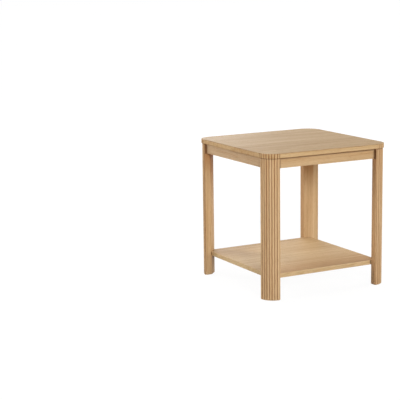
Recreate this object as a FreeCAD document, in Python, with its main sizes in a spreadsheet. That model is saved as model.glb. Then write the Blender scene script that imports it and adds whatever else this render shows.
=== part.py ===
import FreeCAD, Part
import math
import os
import Sketcher

# End table with a low shelf, in millimetres. +Z is up, +X is to the right and the front faces -Y. The origin
# lies on the floor under the middle of the top. A reeded quarter-round leg stands under each reeded corner.
# Each leg, corner block and fixing is drawn for the front left corner, in the frame of the leg that stands
# there: its origin is the middle of the leg's round, which faces -X and -Y.

NAME, VALUE, MEANING = range(3)
DRIVING_SIZES = (
    ("top_width", 500, "top, left to right"),
    ("top_depth", 500, "top, front to back"),
    ("top_thickness", 16, "top, underside to surface"),
    ("table_height", 505, "floor to the surface of the top"),
    ("top_overhang", 3, "edge of the top past the crests of the legs' reeds"),
    ("leg_side", 51, "leg, from its crests to the end face that an apron meets"),
    ("leg_land", 25, "leg, from its crests to the near edge of its slanted face"),
    ("strip_width", 3, "plain strip between the last reed and the end face"),
    ("strip_setback", 2.5, "plain strip behind the crests"),
    ("reed_count", 8, "reeds round each leg, and round each corner of the top"),
    ("reed_radius", 5.5, "round of one reed"),
    ("apron_height", 36, "apron, top to bottom"),
    ("apron_thickness", 15, "apron, outer face to inner face"),
    ("apron_setback", 10, "apron's outer face behind the crests of the legs"),
    ("shelf_thickness", 16, "shelf, underside to surface"),
    ("shelf_rise", 71, "floor to the underside of the shelf"),
    ("shelf_setback", 25, "edge of the shelf behind the crests of the legs"),
    ("edge_ease", 1, "round on the long edges of the boards and legs"),
    ("block_rise", 6, "bottom of the corner block above the bottom of the apron"),
    ("block_thickness", 18, "corner block, along the diagonal"),
    ("draw_gap", 3, "gap between leg and corner block, which lets the bolt pull the leg tight"),
    ("hole_clearance", 0.2, "hole wider than the dowel, screw or cam in it"),
    ("hole_relief", 1, "blind hole deeper than what it holds"),
    ("bolt_diameter", 6, "hanger bolt"),
    ("bolt_clearance", 0.6, "bolt hole in the corner block wider than the bolt"),
    ("bolt_bite", 24, "hanger bolt inside the leg"),
    ("bolt_tail", 3.4, "hanger bolt past its nut"),
    ("washer_diameter", 14, "washer under the nut"),
    ("washer_thickness", 1.6, "washer under the nut"),
    ("nut_width", 10, "nut, across its flats"),
    ("nut_height", 5, "nut, along the bolt"),
    ("dowel_diameter", 8, "dowel between apron and leg"),
    ("dowel_length", 30, "dowel between apron and leg, half in each"),
    ("dowel_edge", 9, "dowel from the top and bottom edges of the apron"),
    ("screw_diameter", 4, "shank of the screws"),
    ("screw_head_diameter", 7.5, "head of the screws"),
    ("screw_head_height", 2.5, "head of the screws"),
    ("head_clearance", 1, "counterbore wider than the screw head"),
    ("block_screw_place", 16, "screw into the apron, from the middle of the leg's round along the apron"),
    ("block_screw_seat", 12, "wood of the block under the head of that screw"),
    ("block_screw_bite", 10, "that screw inside the apron"),
    ("top_screw_place", 10, "screw into the top, to the side of the bolt"),
    ("top_screw_recess", 8, "head of that screw above the bottom of the block"),
    ("top_screw_bite", 11, "that screw inside the top"),
    ("shelf_dowel_diameter", 6, "dowel between shelf and leg"),
    ("shelf_dowel_length", 24, "dowel between shelf and leg, half in each"),
    ("shelf_dowel_place", 12, "dowel between shelf and leg, to the side of the cam bolt"),
    ("cam_bolt_diameter", 6, "cam bolt"),
    ("cam_bolt_bite", 11, "cam bolt inside the leg"),
    ("cam_reach", 24, "middle of the cam lock from the cut corner of the shelf"),
    ("cam_diameter", 15, "cam lock"),
    ("cam_height", 12.5, "cam lock, from the underside of the shelf"),
    ("cam_slot", 7.6, "slot in the cam lock that takes the bolt"),
)

LEFT, RIGHT = -1, 1
FRONT, BACK = -1, 1
# name of a corner: its side along X, its side along Y, and the turn of the front left piece to stand there
CORNERS = {
    "front_left": (LEFT, FRONT, 0),
    "front_right": (RIGHT, FRONT, 90),
    "back_right": (RIGHT, BACK, 180),
    "back_left": (LEFT, BACK, 270),
}

X_AXIS = FreeCAD.Vector(1, 0, 0)
Y_AXIS = FreeCAD.Vector(0, 1, 0)
Z_AXIS = FreeCAD.Vector(0, 0, 1)
DIAGONAL = FreeCAD.Vector(1, 1, 0)
UPRIGHT = FreeCAD.Rotation()
# turn about the upright of a sketch on the XZ plane, so that it faces along +X and +Y equally
FACING_INWARD = 135
FACING_CORNER = -45
# two points this close are one place
SAME_PLACE = 0.01

# places worked out from the driving sizes, as expressions on the sheet
CREST = "(Dims.leg_side - Dims.strip_width)"
CORNER_X = f"(Dims.top_width / 2 - Dims.top_overhang - {CREST})"
CORNER_Y = f"(Dims.top_depth / 2 - Dims.top_overhang - {CREST})"
LEG_TOP = "(Dims.table_height - Dims.top_thickness)"
STRIP_FACE = f"({CREST} - Dims.strip_setback)"
LAND_EDGE = f"(Dims.leg_land - {CREST})"
HALF_REED = "(45 deg / Dims.reed_count)"
SLANT_SUM = f"(Dims.strip_width + {LAND_EDGE})"
SLANT = f"({SLANT_SUM} / sqrt(2))"
APRON_OUTER = f"(Dims.apron_setback - {CREST})"
APRON_MIDDLE = f"({APRON_OUTER} + Dims.apron_thickness / 2)"
APRON_INNER = f"({APRON_OUTER} + Dims.apron_thickness)"
APRON_BOTTOM = f"({LEG_TOP} - Dims.apron_height)"
SHELF_EDGE = f"(Dims.shelf_setback - {CREST})"
SHELF_MIDDLE = "(Dims.shelf_rise + Dims.shelf_thickness / 2)"
BLOCK_NEAR = f"({SLANT} + Dims.draw_gap)"
BLOCK_FAR = f"({BLOCK_NEAR} + Dims.block_thickness)"
BLOCK_HEIGHT = "(Dims.apron_height - Dims.block_rise)"
BLOCK_BOTTOM = f"({LEG_TOP} - {BLOCK_HEIGHT})"
BOLT_LEVEL = f"({LEG_TOP} - {BLOCK_HEIGHT} / 2)"
BLOCK_SCREW_LEVEL = f"({LEG_TOP} - Dims.apron_height / 2)"
DOWEL_LEVELS = (f"({LEG_TOP} - Dims.dowel_edge)", f"({APRON_BOTTOM} + Dims.dowel_edge)")
DOWEL_HOLE = "(Dims.dowel_diameter + Dims.hole_clearance)"
DOWEL_DEPTH = "(Dims.dowel_length / 2 + Dims.hole_relief)"
SHELF_DOWEL_HOLE = "(Dims.shelf_dowel_diameter + Dims.hole_clearance)"
SHELF_DOWEL_DEPTH = "(Dims.shelf_dowel_length / 2 + Dims.hole_relief)"
SHELF_DOWEL_SIDES = ("Dims.shelf_dowel_place", "-Dims.shelf_dowel_place")
CAM_BOLT_HOLE = "(Dims.cam_bolt_diameter + Dims.hole_clearance)"
SCREW_HOLE = "(Dims.screw_diameter + Dims.hole_clearance)"
HEAD_HOLE = "(Dims.screw_head_diameter + Dims.head_clearance)"
# the two screws into the top stand on the line through the middle of the block, one on each side of the bolt
TOP_SCREW_NEAR = f"((({BLOCK_NEAR} + {BLOCK_FAR}) / 2 - Dims.top_screw_place) / sqrt(2))"
TOP_SCREW_FAR = f"((({BLOCK_NEAR} + {BLOCK_FAR}) / 2 + Dims.top_screw_place) / sqrt(2))"
TOP_SCREW_PLACES = ((TOP_SCREW_NEAR, TOP_SCREW_FAR), (TOP_SCREW_FAR, TOP_SCREW_NEAR))

doc = FreeCAD.newDocument("end_table")
sheet = doc.addObject("Spreadsheet::Sheet", "Dims")
sub_parts = []


def fill_sheet():
    """Write the driving sizes into the sheet, one row each, with an alias for the value."""
    for row, size in enumerate(DRIVING_SIZES, start=1):
        sheet.set(f"A{row}", size[NAME])
        sheet.set(f"B{row}", str(size[VALUE]))
        sheet.set(f"C{row}", size[MEANING])
        sheet.setAlias(f"B{row}", size[NAME])
    doc.recompute()


def number(expression):
    """Return the present value of an expression on the sheet."""
    result = sheet.evalExpression(expression)
    return float(getattr(result, "Value", result))


def new_body(label):
    """Return a new body that is a sub-part of the table."""
    body = doc.addObject("PartDesign::Body", label)
    body.Label = label
    sub_parts.append(body)
    return body


def new_sketch(body, name, plane, place=("0", "0", "0"), turn=UPRIGHT):
    """Return a sketch on one of the body's origin planes, moved and turned within that plane's frame."""
    sketch = body.newObject("Sketcher::SketchObject", name)
    support = next(item for item in body.Origin.OriginFeatures if item.Role == plane)
    sketch.AttachmentSupport = [(support, "")]
    sketch.MapMode = "FlatFace"
    sketch.AttachmentOffset = FreeCAD.Placement(FreeCAD.Vector(), turn)
    for axis, expression in zip("xyz", place):
        sketch.setExpression(f"AttachmentOffset.Base.{axis}", expression)
    return sketch


def pin_point(sketch, curve, end, name, place):
    """Tie one point of a sketch to its place from the sketch's origin."""
    for kind, axis, expression in zip(("DistanceX", "DistanceY"), "xy", place):
        rule = Sketcher.Constraint(kind, -1, 1, curve, end, number(expression))
        index = sketch.addConstraint(rule)
        sketch.renameConstraint(index, f"{name}_{axis}")
        sketch.setExpression(f"Constraints.{name}_{axis}", expression)


def add_polygon(sketch, corners):
    """Draw a closed polygon whose corners are pairs of expressions."""
    points = [FreeCAD.Vector(number(x), number(y), 0) for x, y in corners]
    for index, point in enumerate(points):
        following = points[(index + 1) % len(points)]
        sketch.addGeometry(Part.LineSegment(point, following), False)
    for index, corner in enumerate(corners):
        following = (index + 1) % len(corners)
        sketch.addConstraint(Sketcher.Constraint("Coincident", index, 2, following, 1))
        pin_point(sketch, index, 1, f"corner{index}", corner)


def add_circles(sketch, circles):
    """Draw circles, each given by expressions for its middle and its diameter."""
    for index, (x, y, diameter) in enumerate(circles):
        middle = FreeCAD.Vector(number(x), number(y), 0)
        curve = sketch.addGeometry(Part.Circle(middle, Z_AXIS, number(diameter) / 2), False)
        pin_point(sketch, curve, 3, f"middle{index}", (x, y))
        rule = sketch.addConstraint(Sketcher.Constraint("Diameter", curve, number(diameter)))
        sketch.renameConstraint(rule, f"diameter{index}")
        sketch.setExpression(f"Constraints.diameter{index}", diameter)


def pad(body, sketch, length):
    """Raise a sketch into the body along its normal."""
    feature = body.newObject("PartDesign::Pad", f"{sketch.Name}_pad")
    feature.Profile = sketch
    feature.setExpression("Length", length)
    doc.recompute()
    return feature


def pocket(body, sketch, depth, along_normal=False):
    """Cut a sketch into the body, against its normal or along it, and make sure that it removed wood."""
    before = body.Shape.Volume
    feature = body.newObject("PartDesign::Pocket", f"{sketch.Name}_pocket")
    feature.Profile = sketch
    feature.Reversed = along_normal
    feature.setExpression("Length", depth)
    doc.recompute()
    if not body.Shape.Volume < before:
        raise RuntimeError(f"{feature.Name} removed nothing")
    return feature


def ease_edges(body, wanted):
    """Round the edges of the body that wanted picks out."""
    base = body.Tip
    names = [f"Edge{index}" for index, edge in enumerate(base.Shape.Edges, start=1) if wanted(edge)]
    if not names:
        raise RuntimeError(f"{body.Label} has no edge to ease")
    feature = body.newObject("PartDesign::Fillet", f"{body.Name}_ease")
    feature.Base = (base, names)
    feature.setExpression("Radius", "Dims.edge_ease")
    doc.recompute()


def lies_level(edge, height):
    """Say whether the whole of an edge lies at one height."""
    heights = [vertex.Point.z for vertex in edge.Vertexes] + [edge.CenterOfMass.z]
    return all(abs(found - height) < SAME_PLACE for found in heights)


def stands_at(edge, x, y):
    """Say whether an edge is an upright line over a point of the plan."""
    foot = edge.firstVertex().Point
    near = math.hypot(foot.x - x, foot.y - y) < SAME_PLACE
    return near and runs_along(edge, Z_AXIS)


def runs_along(edge, axis):
    """Say whether a straight edge runs along an axis, either way."""
    along = edge.lastVertex().Point - edge.firstVertex().Point
    return along.cross(axis).Length < SAME_PLACE


def place_at_corner(piece, corner):
    """Turn a piece drawn at the front left corner and move it to its own corner of the table."""
    side_x, side_y, turn = CORNERS[corner]
    piece.Placement = FreeCAD.Placement(FreeCAD.Vector(), FreeCAD.Rotation(Z_AXIS, turn))
    piece.setExpression("Placement.Base.x", f"{side_x} * {CORNER_X}")
    piece.setExpression("Placement.Base.y", f"{side_y} * {CORNER_Y}")


def reed_circle(crest):
    """Return the first reed as a circle in the frame of a round with the given crest radius."""
    reach = f"({crest} - Dims.reed_radius)"
    return (f"-{reach} * cos({HALF_REED})", f"-{reach} * sin({HALF_REED})", "(2 * Dims.reed_radius)")


def add_reeds(body, name, crest, length, place=("0", "0", "0"), quarter_turn=0):
    """Add a quarter turn of reeds round one upright axis of the body."""
    sketch = new_sketch(body, f"{name}_reed", "XY_Plane", place, FreeCAD.Rotation(Z_AXIS, quarter_turn))
    add_circles(sketch, [reed_circle(crest)])
    first = pad(body, sketch, length)
    pattern = body.newObject("PartDesign::PolarPattern", f"{name}_reeds")
    pattern.Originals = [first]
    pattern.Axis = (sketch, ["N_Axis"])
    pattern.setExpression("Angle", f"90 deg - 2 * {HALF_REED}")
    pattern.setExpression("Occurrences", "Dims.reed_count")
    body.Tip = pattern
    doc.recompute()


def add_leg_outline(sketch):
    """Draw the leg's section without reeds: strips, end faces, slanted face and round."""
    face = number(STRIP_FACE)
    land = number(LAND_EDGE)
    end = number("Dims.strip_width")
    corners = [(0, -face), (end, -face), (end, land), (land, end), (-face, end), (-face, 0)]
    points = [FreeCAD.Vector(x, y, 0) for x, y in corners]
    for start, finish in zip(points, points[1:]):
        sketch.addGeometry(Part.LineSegment(start, finish), False)
    circle = Part.Circle(FreeCAD.Vector(), Z_AXIS, face)
    round_curve = sketch.addGeometry(Part.ArcOfCircle(circle, math.pi, 1.5 * math.pi), False)
    last_line = round_curve - 1
    for line in range(last_line):
        sketch.addConstraint(Sketcher.Constraint("Coincident", line, 2, line + 1, 1))
    sketch.addConstraint(Sketcher.Constraint("Coincident", last_line, 2, round_curve, 1))
    sketch.addConstraint(Sketcher.Constraint("Coincident", round_curve, 2, 0, 1))
    sketch.addConstraint(Sketcher.Constraint("Coincident", round_curve, 3, -1, 1))
    sketch.addConstraint(Sketcher.Constraint("PointOnObject", round_curve, 1, -1))
    sketch.addConstraint(Sketcher.Constraint("PointOnObject", round_curve, 2, -2))
    sketch.addConstraint(Sketcher.Constraint("Horizontal", 0))
    sketch.addConstraint(Sketcher.Constraint("Vertical", last_line))
    radius = sketch.addConstraint(Sketcher.Constraint("Radius", round_curve, face))
    sketch.renameConstraint(radius, "face_radius")
    sketch.setExpression("Constraints.face_radius", STRIP_FACE)
    pin_point(sketch, 2, 1, "slant_start", ("Dims.strip_width", LAND_EDGE))
    pin_point(sketch, 3, 1, "slant_end", (LAND_EDGE, "Dims.strip_width"))
    sketch.addConstraint(Sketcher.Constraint("Vertical", 1))
    sketch.addConstraint(Sketcher.Constraint("Horizontal", 3))


def slant_sketch(body, name, along):
    """Return a sketch across the diagonal of the leg's frame, at a distance from the leg's middle."""
    place = (f"{along} / sqrt(2)", "0", f"-{along} / sqrt(2)")
    return new_sketch(body, name, "XZ_Plane", place, FreeCAD.Rotation(Y_AXIS, FACING_INWARD))


def make_leg(corner):
    """Build one leg, with its reeds and the holes for dowels, hanger bolt and cam bolt."""
    body = new_body(f"leg_{corner}")
    outline = new_sketch(body, f"{corner}_leg_outline", "XY_Plane")
    add_leg_outline(outline)
    pad(body, outline, LEG_TOP)
    add_reeds(body, f"{corner}_leg", CREST, LEG_TOP)
    end = number("Dims.strip_width")
    land = number(LAND_EDGE)
    ease_edges(body, lambda edge: stands_at(edge, end, land) or stands_at(edge, land, end))
    end_x = new_sketch(body, f"{corner}_leg_end_x", "YZ_Plane", ("0", "0", "Dims.strip_width"))
    add_circles(end_x, [(APRON_MIDDLE, level, DOWEL_HOLE) for level in DOWEL_LEVELS])
    pocket(body, end_x, DOWEL_DEPTH)
    end_y = new_sketch(body, f"{corner}_leg_end_y", "XZ_Plane", ("0", "0", "-Dims.strip_width"))
    add_circles(end_y, [(APRON_MIDDLE, level, DOWEL_HOLE) for level in DOWEL_LEVELS])
    pocket(body, end_y, DOWEL_DEPTH, along_normal=True)
    bolt = slant_sketch(body, f"{corner}_leg_bolt", SLANT)
    add_circles(bolt, [("0", BOLT_LEVEL, "(Dims.bolt_diameter + Dims.hole_clearance)")])
    pocket(body, bolt, "Dims.bolt_bite + Dims.hole_relief")
    cam = slant_sketch(body, f"{corner}_leg_cam", SLANT)
    add_circles(cam, [("0", SHELF_MIDDLE, CAM_BOLT_HOLE)])
    pocket(body, cam, "Dims.cam_bolt_bite + Dims.hole_relief")
    dowels = slant_sketch(body, f"{corner}_leg_shelf_dowels", SLANT)
    add_circles(dowels, [(side, SHELF_MIDDLE, SHELF_DOWEL_HOLE) for side in SHELF_DOWEL_SIDES])
    pocket(body, dowels, SHELF_DOWEL_DEPTH)
    place_at_corner(body, corner)


def make_top():
    """Build the top: a board with a plain edge along each side and reeds round each corner."""
    body = new_body("tabletop")
    half_x = "Dims.top_width / 2"
    half_y = "Dims.top_depth / 2"
    for name, x, y in (("across", half_x, CORNER_Y), ("along", CORNER_X, half_y)):
        board = new_sketch(body, f"top_{name}", "XY_Plane")
        add_polygon(board, [(f"-{x}", f"-{y}"), (x, f"-{y}"), (x, y), (f"-{x}", y)])
        pad(body, board, "Dims.top_thickness")
    rounds = new_sketch(body, "top_rounds", "XY_Plane")
    across = f"(2 * ({STRIP_FACE} + Dims.top_overhang))"
    sides = [CORNERS[corner][:2] for corner in CORNERS]
    add_circles(rounds, [(f"{x} * {CORNER_X}", f"{y} * {CORNER_Y}", across) for x, y in sides])
    pad(body, rounds, "Dims.top_thickness")
    for corner, (x, y, turn) in CORNERS.items():
        place = (f"{x} * {CORNER_X}", f"{y} * {CORNER_Y}", "0")
        crest = f"({CREST} + Dims.top_overhang)"
        add_reeds(body, f"{corner}_top", crest, "Dims.top_thickness", place, turn)
    surface = number("Dims.top_thickness")
    ease_edges(body, lambda edge: lies_level(edge, surface))
    screws = new_sketch(body, "top_screw_holes", "XY_Plane")
    places = []
    for x, y in sides:
        for along_x, along_y in TOP_SCREW_PLACES:
            places.append((f"{x} * ({CORNER_X} - {along_x})", f"{y} * ({CORNER_Y} - {along_y})", SCREW_HOLE))
    add_circles(screws, places)
    pocket(body, screws, "Dims.top_screw_bite + Dims.hole_relief", along_normal=True)
    body.setExpression("Placement.Base.z", LEG_TOP)


def make_apron(label, corner_along, corner_across, turn):
    """Build an apron along X with its outer face at -Y, then turn it to its own side of the table."""
    body = new_body(label)
    half = f"({corner_along} - Dims.strip_width)"
    board = new_sketch(body, f"{label}_board", "XY_Plane", ("0", "0", APRON_BOTTOM))
    outer = f"({APRON_OUTER} - {corner_across})"
    inner = f"({APRON_INNER} - {corner_across})"
    add_polygon(board, [(f"-{half}", outer), (half, outer), (half, inner), (f"-{half}", inner)])
    pad(body, board, "Dims.apron_height")
    bottom = number(APRON_BOTTOM)
    ease_edges(body, lambda edge: runs_along(edge, X_AXIS) and lies_level(edge, bottom))
    middle = f"({APRON_MIDDLE} - {corner_across})"
    for name, end, along_normal in (("right", half, False), ("left", f"-{half}", True)):
        holes = new_sketch(body, f"{label}_{name}_dowels", "YZ_Plane", ("0", "0", end))
        add_circles(holes, [(middle, level, DOWEL_HOLE) for level in DOWEL_LEVELS])
        pocket(body, holes, DOWEL_DEPTH, along_normal)
    screws = new_sketch(body, f"{label}_screws", "XZ_Plane", ("0", "0", f"-{inner}"))
    place = f"({corner_along} - Dims.block_screw_place)"
    add_circles(screws, [(f"{side} * {place}", BLOCK_SCREW_LEVEL, SCREW_HOLE) for side in (LEFT, RIGHT)])
    pocket(body, screws, "Dims.block_screw_bite + Dims.hole_relief", along_normal=True)
    body.Placement = FreeCAD.Placement(FreeCAD.Vector(), FreeCAD.Rotation(Z_AXIS, turn))


def make_shelf():
    """Build the shelf, its corners cut along the slanted faces of the legs, with the holes of its fixings."""
    body = new_body("shelf")
    edge_x = f"({CORNER_X} - {SHELF_EDGE})"
    edge_y = f"({CORNER_Y} - {SHELF_EDGE})"
    cut_x = f"({CORNER_X} - {SLANT_SUM} + {SHELF_EDGE})"
    cut_y = f"({CORNER_Y} - {SLANT_SUM} + {SHELF_EDGE})"
    outline = new_sketch(body, "shelf_outline", "XY_Plane", ("0", "0", "Dims.shelf_rise"))
    add_polygon(outline, [
        (f"-{cut_x}", f"-{edge_y}"), (cut_x, f"-{edge_y}"),
        (edge_x, f"-{cut_y}"), (edge_x, cut_y),
        (cut_x, edge_y), (f"-{cut_x}", edge_y),
        (f"-{edge_x}", cut_y), (f"-{edge_x}", f"-{cut_y}"),
    ])
    pad(body, outline, "Dims.shelf_thickness")
    ease_edges(body, lambda edge: runs_along(edge, X_AXIS) or runs_along(edge, Y_AXIS))
    cams = new_sketch(body, "shelf_cams", "XY_Plane", ("0", "0", "Dims.shelf_rise"))
    along = f"(({SLANT} + Dims.cam_reach) / sqrt(2))"
    across = "(Dims.cam_diameter + Dims.hole_clearance)"
    sides = [CORNERS[corner][:2] for corner in CORNERS]
    from_x = f"({CORNER_X} - {along})"
    from_y = f"({CORNER_Y} - {along})"
    add_circles(cams, [(f"{x} * {from_x}", f"{y} * {from_y}", across) for x, y in sides])
    pocket(body, cams, "Dims.cam_height + Dims.hole_clearance", along_normal=True)
    offset = f"({SLANT} / sqrt(2))"
    for corner, (x, y, turn) in CORNERS.items():
        place = (f"{x} * ({CORNER_X} - {offset})", "0", f"{-y} * ({CORNER_Y} - {offset})")
        facing = FreeCAD.Rotation(Y_AXIS, FACING_CORNER + turn)
        bolt = new_sketch(body, f"{corner}_shelf_bolt", "XZ_Plane", place, facing)
        add_circles(bolt, [("0", SHELF_MIDDLE, CAM_BOLT_HOLE)])
        pocket(body, bolt, "Dims.cam_reach")
        dowels = new_sketch(body, f"{corner}_shelf_dowels", "XZ_Plane", place, facing)
        add_circles(dowels, [(side, SHELF_MIDDLE, SHELF_DOWEL_HOLE) for side in SHELF_DOWEL_SIDES])
        pocket(body, dowels, SHELF_DOWEL_DEPTH)


def make_block(corner):
    """Build one corner block, which ties two aprons, the leg and the top together."""
    body = new_body(f"corner_block_{corner}")
    near = f"({BLOCK_NEAR} * sqrt(2) - {APRON_INNER})"
    far = f"({BLOCK_FAR} * sqrt(2) - {APRON_INNER})"
    outline = new_sketch(body, f"{corner}_block_outline", "XY_Plane", ("0", "0", BLOCK_BOTTOM))
    add_polygon(outline, [(APRON_INNER, near), (near, APRON_INNER), (far, APRON_INNER), (APRON_INNER, far)])
    pad(body, outline, BLOCK_HEIGHT)
    bolt = slant_sketch(body, f"{corner}_block_bolt", BLOCK_FAR)
    add_circles(bolt, [("0", BOLT_LEVEL, "(Dims.bolt_diameter + Dims.bolt_clearance)")])
    pocket(body, bolt, "Dims.block_thickness")
    for name, diameter, depth in (("shanks", SCREW_HOLE, BLOCK_HEIGHT),
                                  ("heads", HEAD_HOLE, "Dims.top_screw_recess")):
        holes = new_sketch(body, f"{corner}_block_top_{name}", "XY_Plane", ("0", "0", BLOCK_BOTTOM))
        add_circles(holes, [(x, y, diameter) for x, y in TOP_SCREW_PLACES])
        pocket(body, holes, depth, along_normal=True)
    seat = f"({APRON_INNER} + Dims.block_screw_seat)"
    for name, diameter, start in (("shank", SCREW_HOLE, APRON_INNER), ("head", HEAD_HOLE, seat)):
        into_x = new_sketch(body, f"{corner}_block_{name}_x", "YZ_Plane", ("0", "0", start))
        add_circles(into_x, [("Dims.block_screw_place", BLOCK_SCREW_LEVEL, diameter)])
        pocket(body, into_x, far, along_normal=True)
        into_y = new_sketch(body, f"{corner}_block_{name}_y", "XZ_Plane", ("0", "0", f"-{start}"))
        add_circles(into_y, [("Dims.block_screw_place", BLOCK_SCREW_LEVEL, diameter)])
        pocket(body, into_y, far)
    place_at_corner(body, corner)


def set_place(piece, rotation, place):
    """Turn a piece and tie its place in the front left leg's frame to the sheet."""
    piece.Placement = FreeCAD.Placement(FreeCAD.Vector(), rotation)
    piece.setExpression("Placement.Base.x", f"{place[0]} - {CORNER_X}")
    piece.setExpression("Placement.Base.y", f"{place[1]} - {CORNER_Y}")
    piece.setExpression("Placement.Base.z", place[2])
    return piece


def rod(name, diameter, length, along, place):
    """Return a cylinder that runs along a direction from a place in the front left leg's frame."""
    piece = doc.addObject("Part::Cylinder", name)
    piece.setExpression("Radius", f"{diameter} / 2")
    piece.setExpression("Height", length)
    return set_place(piece, FreeCAD.Rotation(Z_AXIS, along), place)


def screw(name, length, along, seat):
    """Return a screw: a shank that runs along a direction from its seat, and a head behind the seat."""
    shank = rod(f"{name}_shank", "Dims.screw_diameter", length, along, seat)
    behind = []
    for place, part in zip(seat, along):
        behind.append(f"({place} - {part:g} * Dims.screw_head_height)")
    head = rod(f"{name}_head", "Dims.screw_head_diameter", "Dims.screw_head_height", along, behind)
    whole = doc.addObject("Part::Fuse", name)
    whole.Base = shank
    whole.Tool = head
    return whole


def at_each_corner(label, pieces):
    """Repeat pieces of the front left corner at the other three, and group them all as one sub-part."""
    group = list(pieces)
    for axis in (X_AXIS, Y_AXIS):
        for piece in list(group):
            copy = doc.addObject("Part::Mirroring", f"{piece.Name}_across")
            copy.Source = piece
            copy.Normal = axis
            group.append(copy)
    compound = doc.addObject("Part::Compound", label)
    compound.Label = label
    compound.Links = group
    sub_parts.append(compound)


def on_diagonal(along, level):
    """Return a place on the diagonal of the leg's frame, at a distance from the leg's middle and a height."""
    return (f"{along} / sqrt(2)", f"{along} / sqrt(2)", level)


def make_bolts():
    """Build the hanger bolts with their washers and nuts."""
    washer_end = f"({BLOCK_FAR} + Dims.washer_thickness)"
    nut_end = f"({washer_end} + Dims.nut_height)"
    start = f"({SLANT} - Dims.bolt_bite)"
    length = f"{nut_end} + Dims.bolt_tail - {start}"
    bolt = rod("hanger_bolt", "Dims.bolt_diameter", length, DIAGONAL, on_diagonal(start, BOLT_LEVEL))
    at_each_corner("hanger_bolts", [bolt])
    opening = "(Dims.bolt_diameter + Dims.hole_clearance)"
    disc = rod("washer_disc", "Dims.washer_diameter", "Dims.washer_thickness", DIAGONAL,
               on_diagonal(BLOCK_FAR, BOLT_LEVEL))
    bore = rod("washer_bore", opening, "Dims.washer_thickness", DIAGONAL, on_diagonal(BLOCK_FAR, BOLT_LEVEL))
    at_each_corner("hanger_washers", [cut("hanger_washer", disc, bore)])
    prism = doc.addObject("Part::Prism", "nut_prism")
    prism.Polygon = 6
    prism.setExpression("Circumradius", "Dims.nut_width / 2 / cos(30 deg)")
    prism.setExpression("Height", "Dims.nut_height")
    set_place(prism, FreeCAD.Rotation(Z_AXIS, DIAGONAL), on_diagonal(washer_end, BOLT_LEVEL))
    thread = rod("nut_bore", opening, "Dims.nut_height", DIAGONAL, on_diagonal(washer_end, BOLT_LEVEL))
    at_each_corner("hanger_nuts", [cut("hanger_nut", prism, thread)])


def cut(name, base, tool):
    """Return one piece with another taken out of it."""
    piece = doc.addObject("Part::Cut", name)
    piece.Base = base
    piece.Tool = tool
    return piece


def make_screws():
    """Build the screws from the blocks into the aprons, and up through the blocks into the top."""
    seat = f"({APRON_INNER} + Dims.block_screw_seat)"
    length = "(Dims.block_screw_seat + Dims.block_screw_bite)"
    aside = "Dims.block_screw_place"
    into_left = screw("screw_into_left", length, -X_AXIS, (seat, aside, BLOCK_SCREW_LEVEL))
    into_front = screw("screw_into_front", length, -Y_AXIS, (aside, seat, BLOCK_SCREW_LEVEL))
    at_each_corner("block_screws", [into_left, into_front])
    level = f"({BLOCK_BOTTOM} + Dims.top_screw_recess)"
    rise = f"({BLOCK_HEIGHT} - Dims.top_screw_recess + Dims.top_screw_bite)"
    risers = []
    for index, (x, y) in enumerate(TOP_SCREW_PLACES):
        risers.append(screw(f"screw_into_top_{index}", rise, Z_AXIS, (x, y, level)))
    at_each_corner("top_screws", risers)


def make_dowels():
    """Build the dowels between the aprons and the legs, and between the shelf and the legs."""
    diameter = "Dims.dowel_diameter"
    length = "Dims.dowel_length"
    start = f"(Dims.strip_width - {length} / 2)"
    dowels = []
    for index, level in enumerate(DOWEL_LEVELS):
        dowels.append(rod(f"dowel_x_{index}", diameter, length, X_AXIS, (start, APRON_MIDDLE, level)))
        dowels.append(rod(f"dowel_y_{index}", diameter, length, Y_AXIS, (APRON_MIDDLE, start, level)))
    at_each_corner("apron_dowels", dowels)
    diameter = "Dims.shelf_dowel_diameter"
    length = "Dims.shelf_dowel_length"
    start = f"{SLANT} - {length} / 2"
    dowels = []
    for index, side in enumerate(SHELF_DOWEL_SIDES):
        place = (f"({start} + {side}) / sqrt(2)", f"({start} - {side}) / sqrt(2)", SHELF_MIDDLE)
        dowels.append(rod(f"shelf_dowel_{index}", diameter, length, DIAGONAL, place))
    at_each_corner("shelf_dowels", dowels)


def make_cams():
    """Build the cam bolts, screwed into the legs, and the cam locks in the underside of the shelf."""
    start = f"({SLANT} - Dims.cam_bolt_bite)"
    length = "Dims.cam_bolt_bite + Dims.cam_reach"
    bolt = rod("cam_bolt", "Dims.cam_bolt_diameter", length, DIAGONAL, on_diagonal(start, SHELF_MIDDLE))
    at_each_corner("shelf_cam_bolts", [bolt])
    middle = f"({SLANT} + Dims.cam_reach)"
    disc = rod("cam_disc", "Dims.cam_diameter", "Dims.cam_height", Z_AXIS,
               on_diagonal(middle, "Dims.shelf_rise"))
    slot = rod("cam_slot", "Dims.cam_slot", "Dims.cam_diameter", DIAGONAL,
               on_diagonal(f"({middle} + Dims.cam_slot / 2 - Dims.cam_diameter)", SHELF_MIDDLE))
    at_each_corner("shelf_cam_locks", [cut("cam_lock", disc, slot)])


def check_and_write():
    """Stop if anything in the document failed, and write each sub-part to its own file otherwise."""
    doc.recompute()
    for item in doc.Objects:
        if "Invalid" in item.State or "Error" in item.State:
            raise RuntimeError(f"{item.Name} failed: {item.State}")
    for piece in sub_parts:
        if piece.Shape.isNull() or not piece.Shape.isValid():
            raise RuntimeError(f"{piece.Label} has no valid shape")
    os.makedirs("parts", exist_ok=True)
    for piece in sub_parts:
        piece.Shape.exportStep(f"parts/{piece.Label}.step")
        print(f"{piece.Label}: {len(piece.Shape.Solids)} solids, {piece.Shape.Volume / 1000:.1f} cm3")


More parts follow.
